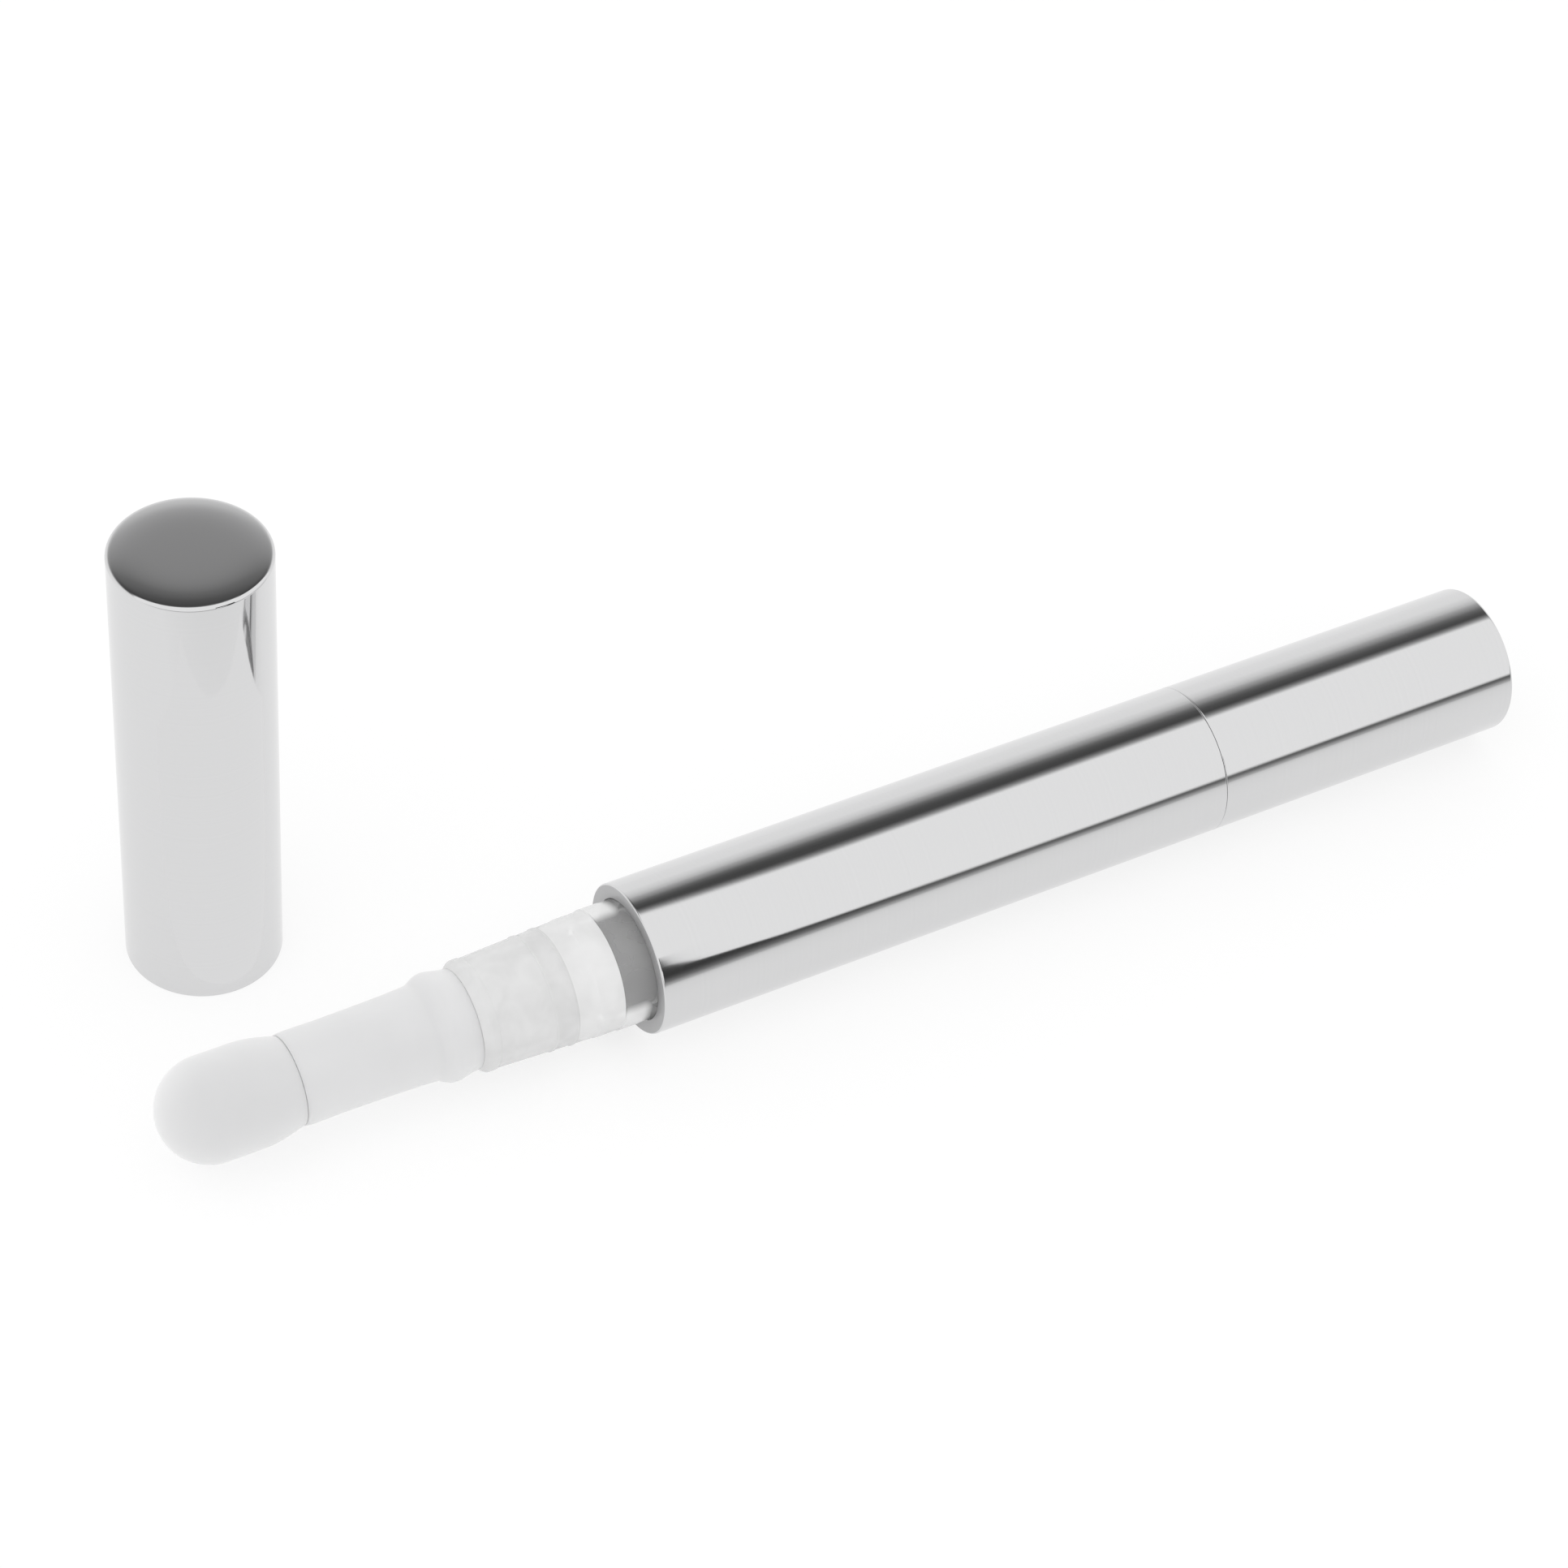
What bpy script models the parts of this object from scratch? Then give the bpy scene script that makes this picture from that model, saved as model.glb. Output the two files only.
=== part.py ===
# Twist pen tube: a metal-cased twist pen that lies on its side, with its cap standing beside it.
# The pen is built along a local Z axis that runs from the barrel's mouth towards the knob,
# so stations ahead of the mouth, on the neck and the tip, are negative.
# An empty then lays that axis down along +X. All lengths are in metres.

import math

import bmesh
import bpy
from mathutils import Matrix, Vector

# Outside sizes
OUTER_RADIUS = 0.0070
SHELL_WALL = 0.0004
BARREL_LENGTH = 0.05845
KNOB_LENGTH = 0.0323
CAP_LENGTH = 0.04695
SEAM_GAP = 0.0003
END_ROUND = 0.0005
MOUTH_BEVEL = 0.00015
SHOULDER_WIDTH = 0.0014

# Where the cap stands, measured from the centre of the barrel's mouth
CAP_ASIDE = 0.02418
CAP_AHEAD = 0.02997

# Fits and gaps
FIT_GAP = 0.0002
FACE_GAP = 0.0003
RUN_GAP = 0.0001
THREAD_GAP = 0.0002
PAWL_GAP = 0.0002
OVERRUN = 0.001
MERGE_DISTANCE = 0.000001

# Neck, and the collar inside its root
COLLAR_WALL = 0.00055
NECK_ROOT_REACH = 0.0030
NECK_FLANGE = 0.0006
NECK_SPIGOT_INSET = 0.0007
NECK_REACH = 0.0163
NECK_WALL = 0.0008
NECK_STEP_LENGTH = 0.0024
NECK_STEP_INSET = 0.0001
NECK_TAPER_INSET = 0.0002
NECK_TAPER_DROP = 0.0003
NECK_RIM_LENGTH = 0.0006
NECK_RIM_HEIGHT = 0.0001
NECK_CHAMFER = 0.0009
NECK_CHAMFER_DROP = 0.0006
NECK_SPIGOT = 0.0065
NECK_REAR_BORE = 0.0037
SEAL_GROOVE_START = 0.0032
SEAL_GROOVE_WIDTH = 0.0012
SEAL_GROOVE_DEPTH = 0.0007

# Applicator stem and its soft tip
TIP_REACH = 0.0447
TIP_RADIUS = 0.00473
TIP_LENGTH = 0.0118
TIP_HEEL_LENGTH = 0.0036
TIP_HEEL_INSET = 0.0001
STEM_FRONT_RADIUS = 0.00412
STEM_BACK_RADIUS = 0.00433
STEM_WALL = 0.0011
BEAD_RADIUS = 0.00497
BEAD_LENGTH = 0.0034
BEAD_GROOVE_RADIUS = 0.0044
PLUG_LENGTH = 0.0087
SPIGOT_RADIUS = 0.0022
SPIGOT_BORE = 0.0011
SPIGOT_LENGTH = 0.0092
BORE_TAPER = 0.0030

# Reservoir and piston
RESERVOIR_WALL = 0.0010
PISTON_LENGTH = 0.0065
PISTON_CROWN = 0.0014
PISTON_CROWN_RADIUS = 0.0022
PISTON_LAND = 0.0007
PISTON_GAP = 0.0003
PISTON_GROOVE_DEPTH = 0.0008
PISTON_GROOVE_WIDTH = 0.0030
LIP_DEPTH = 0.00035
LIP_LENGTH = 0.0008

# Screw rod
ROD_RADIUS = 0.0023
ROD_FLAT = 0.00145
THREAD_DEPTH = 0.0005
THREAD_LEAD = 0.0025
THREAD_CREST = 0.0007
THREAD_FLANK = 0.0002
KNOB_TURNS = 11
ROD_SPARE = 0.0008
ROD_NECK_RADIUS = 0.00125
ROD_HEAD_RADIUS = 0.0019
ROD_HEAD_LENGTH = 0.0012
HEAD_GAP = 0.0003
SOCKET_MOUTH_LENGTH = 0.0013

# Nut, ratchet and bush, fixed inside the barrel's rear end
NUT_LENGTH = 0.0053
NUT_RECESS = 0.0010
NUT_RELIEF = 0.0018
NUT_HUB_WALL = 0.0012
NUT_RIM_WALL = 0.0010
RATCHET_LENGTH = 0.0037
RATCHET_WALL = 0.0008
RATCHET_TEETH = 12
TOOTH_DEPTH = 0.00045
BUSH_LENGTH = 0.0061
BUSH_INSET = 0.00015

# Drive sleeve, pawl ring and knob core, which turn together
KEY_WALL = 0.0007
KEY_FLAT_WALL = 0.00105
ROD_CLEARANCE = 0.0004
SLEEVE_WALL = 0.0017
SLEEVE_SPARE = 0.0025
FLANGE_OVERHANG = 0.00015
FLANGE_LENGTH = 0.0012
DRAG_GROOVE_DEPTH = 0.00065
DRAG_GROOVE_WIDTH = 0.0014
DRAG_GROOVE_SET = 0.0021
PAWL_RING_WALL = 0.0004
SPLINE_HEIGHT = 0.0005
SPLINE_WIDTH = 0.0008
SPLINE_COUNT = 4
SPLINE_SET = 0.0030
CORE_END_WALL = 0.0015

# Cap liner
LINER_SKIRT_LENGTH = 0.0160
LINER_WALL = 0.0006
LINER_END_WALL = 0.0007
LINER_CLEARANCE = 0.0002
LINER_SNAP_DEPTH = 0.0002
LINER_SNAP_LENGTH = 0.0008
LINER_RIB_WIDTH = 0.0006
LINER_RIBS = 6

# Counts of sides on round pieces
SHELL_SIDES = 48
PIECE_SIDES = 32
THREAD_SIDES = 16
RING_SIDES = 6

# Radii that several pieces share
SHELL_INSIDE = OUTER_RADIUS - SHELL_WALL
SEAT_RADIUS = SHELL_INSIDE - FIT_GAP
NECK_ROOT_RADIUS = OUTER_RADIUS - SHOULDER_WIDTH
NECK_SPIGOT_RADIUS = NECK_ROOT_RADIUS - NECK_SPIGOT_INSET
NECK_STEP_RADIUS = NECK_ROOT_RADIUS - NECK_STEP_INSET
NECK_BACK_RADIUS = NECK_STEP_RADIUS - NECK_TAPER_INSET
NECK_FRONT_RADIUS = NECK_BACK_RADIUS - NECK_TAPER_DROP
NECK_BORE = NECK_FRONT_RADIUS - NECK_WALL
COLLAR_RADIUS = NECK_REAR_BORE + COLLAR_WALL
COLLAR_SEAT = COLLAR_RADIUS + FIT_GAP
PLUG_RADIUS = NECK_BORE - FIT_GAP
STEM_BORE = PLUG_RADIUS - STEM_WALL
RESERVOIR_SEAT = NECK_SPIGOT_RADIUS + FIT_GAP
RESERVOIR_BORE = SEAT_RADIUS - RESERVOIR_WALL
PISTON_RADIUS = RESERVOIR_BORE - PISTON_GAP
RATCHET_ROOT = SEAT_RADIUS - RATCHET_WALL
RATCHET_CREST = RATCHET_ROOT - TOOTH_DEPTH
HUB_RADIUS = ROD_RADIUS + THREAD_GAP + KEY_WALL
HUB_FLAT = ROD_FLAT + THREAD_GAP + KEY_FLAT_WALL
SLEEVE_BORE = ROD_RADIUS + ROD_CLEARANCE
JOURNAL_RADIUS = SLEEVE_BORE + SLEEVE_WALL
FLANGE_RADIUS = RATCHET_CREST + FLANGE_OVERHANG
CORE_BORE = JOURNAL_RADIUS + FIT_GAP
LINER_BORE = TIP_RADIUS + LINER_CLEARANCE

# Stations along the pen, from the barrel's mouth
NECK_FLANGE_FRONT = SHELL_WALL + FACE_GAP
NECK_FLANGE_REAR = NECK_FLANGE_FRONT + NECK_FLANGE
RESERVOIR_FRONT = NECK_FLANGE_REAR + FACE_GAP
BUSH_REAR = BARREL_LENGTH - BUSH_INSET
BUSH_FRONT = BUSH_REAR - BUSH_LENGTH
RATCHET_REAR = BUSH_FRONT - FACE_GAP
RATCHET_FRONT = RATCHET_REAR - RATCHET_LENGTH
NUT_REAR = RATCHET_FRONT - FACE_GAP
NUT_FRONT = NUT_REAR - NUT_LENGTH
RESERVOIR_REAR = NUT_FRONT - FACE_GAP
PISTON_REAR = RESERVOIR_REAR - FACE_GAP
PISTON_FRONT = PISTON_REAR - PISTON_LENGTH
ROD_HEAD_REAR = PISTON_REAR - SOCKET_MOUTH_LENGTH - HEAD_GAP
ROD_HEAD_FRONT = ROD_HEAD_REAR - ROD_HEAD_LENGTH
FLANGE_FRONT = RATCHET_REAR + FACE_GAP
FLANGE_REAR = FLANGE_FRONT + FLANGE_LENGTH
HUB_FRONT = RATCHET_FRONT + FACE_GAP
STROKE = THREAD_LEAD * KNOB_TURNS
ROD_REAR = FLANGE_FRONT + STROKE + ROD_SPARE
SLEEVE_REAR = ROD_REAR + SLEEVE_SPARE
DRAG_GROOVE_FRONT = FLANGE_REAR + DRAG_GROOVE_SET
KNOB_FRONT = BARREL_LENGTH + SEAM_GAP
KNOB_REAR = KNOB_FRONT + KNOB_LENGTH
CORE_FRONT = KNOB_FRONT + FACE_GAP
CORE_REAR = KNOB_REAR - SHELL_WALL - FACE_GAP
NECK_FRONT = -NECK_REACH
STEM_SHOULDER = NECK_FRONT - FACE_GAP
PLUG_REAR = STEM_SHOULDER + PLUG_LENGTH + FACE_GAP
TIP_FRONT = -TIP_REACH
TIP_REAR = TIP_FRONT + TIP_LENGTH
STEM_FRONT = TIP_REAR + FACE_GAP

# The whole object stands centred over the origin
MOUTH_X = (TIP_REACH - KNOB_REAR) / 2
PEN_Y = -CAP_ASIDE / 2
CAP_X = MOUTH_X - CAP_AHEAD
CAP_Y = CAP_ASIDE / 2

# The snap bead from its groove to its front toe: share of its length, share of its height
BEAD_SHARES = ((0.0, 0.0), (0.24, 0.56), (0.56, 1.0), (0.76, 0.96), (1.0, -0.14))

# A pawl arm's outline: share of the arm's sweep, share of the way from the hub to the tip circle
PAWL_OUTER_SHARES = ((0.0, 0.56), (0.25, 0.58), (0.5, 0.6), (0.76, 0.62), (1.0, 1.0))
PAWL_INNER_SHARES = ((1.0, 0.32), (0.7, 0.25), (0.4, 0.22), (0.16, 0.2))
PAWL_ARMS = 2
PAWL_SWEEP = math.radians(104)


def clear_scene():
    """Remove whatever the scene holds, so that the model starts from nothing."""
    for item in list(bpy.data.objects):
        bpy.data.objects.remove(item, do_unlink=True)


def new_collection(name):
    """Add a collection to the scene."""
    collection = bpy.data.collections.new(name)
    bpy.context.scene.collection.children.link(collection)
    return collection


def add_object(name, data, holder=None):
    """Link a mesh or curve to the scene as a named sub-part, carried by its empty."""
    item = bpy.data.objects.new(name, data)
    PARTS.objects.link(item)
    item.parent = holder
    return item


def add_cutter(name, mesh, holder=None):
    """Link a mesh as a cutting or joining guide that is not itself a part."""
    item = bpy.data.objects.new(name, mesh)
    CUTTERS.objects.link(item)
    item.parent = holder
    item.hide_render = True
    item.display_type = "WIRE"
    return item


def finish(item, colour, roughness, metallic=0.0, transmission=0.0):
    """Give a piece a material of its own."""
    material = bpy.data.materials.new(item.name)
    material.use_nodes = True
    shader = material.node_tree.nodes["Principled BSDF"]
    shader.inputs["Base Color"].default_value = (*colour, 1.0)
    shader.inputs["Roughness"].default_value = roughness
    shader.inputs["Metallic"].default_value = metallic
    shader.inputs["Transmission Weight"].default_value = transmission
    item.data.materials.append(material)
    return item


def combine(item, other, operation):
    """Cut, join or intersect a piece with another object."""
    modifier = item.modifiers.new(other.name, "BOOLEAN")
    modifier.operation = operation
    modifier.object = other
    modifier.solver = "EXACT"


def outline_mesh(name, points, closed):
    """A chain of edges in the XZ plane, from (radius, station) points."""
    count = len(points)
    edges = [(i, i + 1) for i in range(count - 1)]
    if closed:
        edges.append((count - 1, 0))
    mesh = bpy.data.meshes.new(name)
    mesh.from_pydata([(radius, 0.0, station) for radius, station in points], edges, [])
    return mesh


def turn(item, sides):
    """Turn an outline about Z with the Screw modifier."""
    modifier = item.modifiers.new("turn", "SCREW")
    modifier.axis = "Z"
    modifier.angle = math.tau
    modifier.steps = sides
    modifier.render_steps = sides
    modifier.use_merge_vertices = True
    modifier.merge_threshold = MERGE_DISTANCE
    modifier.use_smooth_shade = True


def turned(name, points, holder, closed=True, sides=PIECE_SIDES):
    """A turned piece. Its outline runs down the outer side, from high stations to low ones."""
    item = add_object(name, outline_mesh(name, points, closed), holder)
    turn(item, sides)
    return item


def drawn_shell(name, points, holder):
    """A drawn metal shell: its outside is turned, then given a wall towards the inside."""
    item = turned(name, points, holder, closed=False, sides=SHELL_SIDES)
    wall = item.modifiers.new("wall", "SOLIDIFY")
    wall.thickness = SHELL_WALL
    wall.offset = -1.0
    wall.use_even_offset = True
    return item


def corner(radius, station, size, steps, start=0.0):
    """Points of a quarter round about a centre, from the angle start towards the rim."""
    points = []
    for step in range(steps + 1):
        angle = start + math.pi / 2 * step / steps
        points.append((radius + size * math.sin(angle), station + size * math.cos(angle)))
    return points


def boxes(name, sizes, places, turns, holder):
    """Blocks of one size, each turned about Z and set at its place, as one guide mesh."""
    form = bmesh.new()
    for place, angle in zip(places, turns):
        scale = Matrix.Diagonal((*sizes, 1.0))
        matrix = Matrix.Rotation(angle, 4, "Z") @ Matrix.Translation(place) @ scale
        bmesh.ops.create_cube(form, size=1.0, matrix=matrix)
    mesh = bpy.data.meshes.new(name)
    form.to_mesh(mesh)
    form.free()
    return add_cutter(name, mesh, holder)


def radial_bars(name, inner, outer, width, low, high, count, holder):
    """Equal bars that stand out along radii, such as splines and ribs."""
    sizes = (outer - inner, width, high - low)
    place = Vector(((inner + outer) / 2, 0.0, (low + high) / 2))
    angles = [math.tau * (index + 0.5) / count for index in range(count)]
    return boxes(name, sizes, [place] * count, angles, holder)


def flatted_bar(name, radius, flat, low, high, holder):
    """A round bar with two opposite flats, made from a cylinder drawn in at its sides."""
    form = bmesh.new()
    middle = Matrix.Translation((0.0, 0.0, (low + high) / 2))
    bmesh.ops.create_cone(
        form, cap_ends=True, segments=PIECE_SIDES, radius1=radius, radius2=radius,
        depth=high - low, matrix=middle,
    )
    for vertex in form.verts:
        vertex.co.x = max(-flat, min(flat, vertex.co.x))
    mesh = bpy.data.meshes.new(name)
    form.to_mesh(mesh)
    form.free()
    return add_cutter(name, mesh, holder)


def threaded_bar(crest_radius, root_radius, crest, flank, start, end):
    """A bar with a right-hand thread, closed at both ends, from one pitch of its outline."""
    form = bmesh.new()
    half = crest / 2
    outline = (
        (root_radius, -THREAD_LEAD / 2),
        (root_radius, -half - flank),
        (crest_radius, -half),
        (crest_radius, half),
        (root_radius, half + flank),
        (root_radius, THREAD_LEAD / 2),
    )
    verts = [form.verts.new((radius, 0.0, start + station)) for radius, station in outline]
    edges = [form.edges.new(pair) for pair in zip(verts, verts[1:])]
    turns = math.ceil((end - start) / THREAD_LEAD)
    steps = turns * THREAD_SIDES
    bmesh.ops.spin(
        form, geom=verts + edges, cent=(0.0, 0.0, 0.0), axis=(0.0, 0.0, 1.0),
        dvec=(0.0, 0.0, THREAD_LEAD / THREAD_SIDES), angle=math.tau * turns, steps=steps,
    )
    bmesh.ops.remove_doubles(form, verts=form.verts, dist=MERGE_DISTANCE)
    for low_end in (True, False):
        close_thread_end(form, start if low_end else start + turns * THREAD_LEAD)
    bmesh.ops.recalc_face_normals(form, faces=form.faces)
    return form


def close_thread_end(form, station):
    """Draw the open end of a thread that lies round a station together on the axis."""
    rim = [edge for edge in form.edges if edge.is_boundary and near_end(edge, station)]
    grown = bmesh.ops.extrude_edge_only(form, edges=rim)["geom"]
    fresh = [item for item in grown if isinstance(item, bmesh.types.BMVert)]
    bmesh.ops.pointmerge(form, verts=fresh, merge_co=(0.0, 0.0, station))


def near_end(edge, station):
    """Does an edge lie within one turn of a station?"""
    middle = (edge.verts[0].co.z + edge.verts[1].co.z) / 2
    return abs(middle - station) <= THREAD_LEAD


def flat_plate(name, outlines, low, high, holder):
    """A flat piece between two stations, cut to closed outlines."""
    curve = bpy.data.curves.new(name, "CURVE")
    curve.dimensions = "2D"
    curve.fill_mode = "BOTH"
    curve.extrude = (high - low) / 2
    for outline in outlines:
        spline = curve.splines.new("POLY")
        spline.points.add(len(outline) - 1)
        for point, (x, y) in zip(spline.points, outline):
            point.co = (x, y, 0.0, 1.0)
        spline.use_cyclic_u = True
    item = add_object(name, curve, holder)
    item.location = (0.0, 0.0, (low + high) / 2)
    return item


def polar(radius, angle):
    """A point in the XY plane from its radius and angle."""
    return (radius * math.cos(angle), radius * math.sin(angle))


def circle(radius, sides):
    """Points round a circle."""
    return [polar(radius, math.tau * index / sides) for index in range(sides)]


def seal_ring(name, inner, outer, station, holder):
    """A ring of round section between two radii."""
    bpy.ops.mesh.primitive_torus_add(
        major_radius=(inner + outer) / 2, minor_radius=(outer - inner) / 2,
        major_segments=PIECE_SIDES, minor_segments=RING_SIDES,
    )
    item = bpy.context.object
    item.name = name
    for collection in list(item.users_collection):
        collection.objects.unlink(item)
    PARTS.objects.link(item)
    item.parent = holder
    item.location = (0.0, 0.0, station)
    item.data.shade_smooth()
    return item


def make_cap_shell(holder):
    """The drawn metal cap, closed and slightly rounded at its top."""
    top = CAP_LENGTH - END_ROUND
    points = [(0.0, CAP_LENGTH)]
    points += corner(OUTER_RADIUS - END_ROUND, top, END_ROUND, 3)
    points.append((OUTER_RADIUS, 0.0))
    finish(drawn_shell("cap_shell", points, holder), (0.80, 0.80, 0.81), 0.08, 1.0)


def make_cap_liner(holder):
    """The moulded liner: a skirt that clears the neck, a snap ring, and a narrow pocket with ribs."""
    top = CAP_LENGTH - SHELL_WALL - FACE_GAP
    pocket_top = top - LINER_END_WALL
    narrow = LINER_BORE + LINER_WALL
    skirt_bore = NECK_ROOT_RADIUS + LINER_CLEARANCE
    root_top = NECK_ROOT_REACH + FACE_GAP
    neck_bore = NECK_STEP_RADIUS + LINER_CLEARANCE
    snap_low = NECK_REACH + FACE_GAP
    snap_high = snap_low + LINER_SNAP_LENGTH
    snap_radius = BEAD_RADIUS - LINER_SNAP_DEPTH
    room_high = NECK_REACH + BEAD_LENGTH + LINER_SNAP_LENGTH
    room_radius = BEAD_RADIUS + LINER_CLEARANCE
    points = [
        (0.0, top),
        (narrow, top),
        (narrow, LINER_SKIRT_LENGTH + (SEAT_RADIUS - narrow)),
        (SEAT_RADIUS, LINER_SKIRT_LENGTH),
        (SEAT_RADIUS, FACE_GAP),
        (skirt_bore, FACE_GAP),
        (skirt_bore, root_top),
        (neck_bore, root_top),
        (neck_bore, NECK_REACH - NECK_CHAMFER),
        (snap_radius, snap_low),
        (snap_radius, snap_high),
        (room_radius, snap_high + (room_radius - snap_radius)),
        (room_radius, room_high),
        (LINER_BORE, room_high + (room_radius - LINER_BORE)),
        (LINER_BORE, pocket_top),
        (0.0, pocket_top),
    ]
    item = turned("cap_liner", points, holder, closed=False)
    ribs = radial_bars(
        "cap_liner_ribs", LINER_BORE + LINER_WALL / 2, SEAT_RADIUS, LINER_RIB_WIDTH,
        LINER_SKIRT_LENGTH - OVERRUN, top - END_ROUND, LINER_RIBS, holder,
    )
    combine(item, ribs, "UNION")
    finish(item, (0.86, 0.86, 0.86), 0.45)


def make_barrel_shell(holder):
    """The drawn metal barrel, with a lip turned in round the neck at its mouth."""
    points = [
        (OUTER_RADIUS, BARREL_LENGTH),
        (OUTER_RADIUS, MOUTH_BEVEL),
        (OUTER_RADIUS - MOUTH_BEVEL, 0.0),
        (NECK_ROOT_RADIUS + FIT_GAP, 0.0),
    ]
    finish(drawn_shell("barrel_shell", points, holder), (0.80, 0.80, 0.81), 0.08, 1.0)


def make_knob_shell(holder):
    """The drawn metal knob, closed and rounded at its rear end."""
    points = [(0.0, KNOB_REAR)]
    points += corner(OUTER_RADIUS - END_ROUND, KNOB_REAR - END_ROUND, END_ROUND, 3)
    points.append((OUTER_RADIUS, KNOB_FRONT))
    finish(drawn_shell("knob_shell", points, holder), (0.80, 0.80, 0.81), 0.08, 1.0)


def make_applicator_tip(holder):
    """The soft dome tip, which is pushed over the stem's spigot."""
    heel_radius = STEM_FRONT_RADIUS - TIP_HEEL_INSET
    heel_front = TIP_REAR - TIP_HEEL_LENGTH
    steps = 4
    heel = []
    for step in range(steps + 1):
        share = step / steps
        drop = (TIP_RADIUS - heel_radius) * (1.0 - math.cos(math.pi / 2 * share))
        heel.append((TIP_RADIUS - drop, heel_front + TIP_HEEL_LENGTH * share))
    dome = corner(0.0, TIP_FRONT + TIP_RADIUS, TIP_RADIUS, 6, start=math.pi / 2)
    socket = SPIGOT_RADIUS + FIT_GAP
    socket_end = STEM_FRONT - SPIGOT_LENGTH - FACE_GAP
    points = [(0.0, socket_end), (socket, socket_end), (socket, TIP_REAR)]
    points += list(reversed(heel))
    points += dome[:-1]
    points.append((0.0, TIP_FRONT))
    finish(turned("applicator_tip", points, holder, closed=False), (0.83, 0.83, 0.84), 0.7)


def make_applicator_stem(holder):
    """The frosted stem: a plug in the neck, a snap bead for the cap, a taper and a spigot."""
    height = BEAD_RADIUS - BEAD_GROOVE_RADIUS
    bead = [
        (BEAD_GROOVE_RADIUS + height * rise, STEM_SHOULDER - BEAD_LENGTH * run)
        for run, rise in BEAD_SHARES
    ]
    spigot_front = STEM_FRONT - SPIGOT_LENGTH
    funnel = STEM_FRONT + STEM_WALL
    points = [(PLUG_RADIUS, PLUG_REAR), (PLUG_RADIUS, STEM_SHOULDER)]
    points += bead
    points += [
        (STEM_BACK_RADIUS, STEM_SHOULDER - BEAD_LENGTH - FACE_GAP),
        (STEM_FRONT_RADIUS, STEM_FRONT),
        (SPIGOT_RADIUS, STEM_FRONT),
        (SPIGOT_RADIUS, spigot_front),
        (SPIGOT_BORE, spigot_front),
        (SPIGOT_BORE, funnel),
        (STEM_BORE, funnel + BORE_TAPER),
        (STEM_BORE, PLUG_REAR),
    ]
    finish(turned("applicator_stem", points, holder), (0.88, 0.88, 0.89), 0.5, 0.0, 0.4)


def make_neck_housing(holder):
    """The clear neck: a taper and a rim in front, a root with a seat for the collar, and a spigot."""
    step_front = -NECK_ROOT_REACH - NECK_STEP_LENGTH
    chamfer_rear = NECK_FRONT + NECK_CHAMFER
    rim_rear = chamfer_rear + NECK_RIM_LENGTH
    rim_radius = NECK_FRONT_RADIUS + NECK_RIM_HEIGHT
    groove_rear = SEAL_GROOVE_START + SEAL_GROOVE_WIDTH
    groove = NECK_SPIGOT_RADIUS - SEAL_GROOVE_DEPTH
    bore_step = PLUG_REAR + FACE_GAP
    seat_front = -NECK_ROOT_REACH - FACE_GAP
    seat_rear = NECK_FLANGE_FRONT + FACE_GAP
    points = [
        (NECK_SPIGOT_RADIUS, NECK_SPIGOT),
        (NECK_SPIGOT_RADIUS, groove_rear),
        (groove, groove_rear),
        (groove, SEAL_GROOVE_START),
        (NECK_SPIGOT_RADIUS, SEAL_GROOVE_START),
        (NECK_SPIGOT_RADIUS, NECK_FLANGE_REAR),
        (SEAT_RADIUS, NECK_FLANGE_REAR),
        (SEAT_RADIUS, NECK_FLANGE_FRONT),
        (NECK_ROOT_RADIUS, NECK_FLANGE_FRONT),
        (NECK_ROOT_RADIUS, -NECK_ROOT_REACH),
        (NECK_STEP_RADIUS, -NECK_ROOT_REACH),
        (NECK_STEP_RADIUS, step_front),
        (NECK_BACK_RADIUS, step_front - NECK_TAPER_INSET),
        (NECK_FRONT_RADIUS, rim_rear),
        (rim_radius, rim_rear - NECK_RIM_HEIGHT),
        (rim_radius, chamfer_rear),
        (rim_radius - NECK_CHAMFER_DROP, NECK_FRONT),
        (NECK_BORE, NECK_FRONT),
        (NECK_BORE, bore_step),
        (NECK_REAR_BORE, bore_step),
        (NECK_REAR_BORE, seat_front),
        (COLLAR_SEAT, seat_front),
        (COLLAR_SEAT, seat_rear),
        (NECK_REAR_BORE, seat_rear),
        (NECK_REAR_BORE, NECK_SPIGOT),
    ]
    finish(turned("neck_housing", points, holder), (0.88, 0.88, 0.89), 0.15, 0.0, 0.6)


def make_neck_collar(holder):
    """The satin band moulded into the neck's root, which shows through the clear wall."""
    points = [
        (COLLAR_RADIUS, NECK_FLANGE_FRONT),
        (COLLAR_RADIUS, -NECK_ROOT_REACH),
        (NECK_REAR_BORE, -NECK_ROOT_REACH),
        (NECK_REAR_BORE, NECK_FLANGE_FRONT),
    ]
    finish(turned("neck_collar", points, holder), (0.30, 0.30, 0.31), 0.4, 0.8)


def make_neck_seal(holder):
    """The rubber ring that closes the neck against the reservoir."""
    inner = NECK_SPIGOT_RADIUS - SEAL_GROOVE_DEPTH + RUN_GAP
    outer = RESERVOIR_SEAT - RUN_GAP
    station = SEAL_GROOVE_START + SEAL_GROOVE_WIDTH / 2
    finish(seal_ring("neck_seal", inner, outer, station, holder), (0.20, 0.20, 0.20), 0.6)


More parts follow.
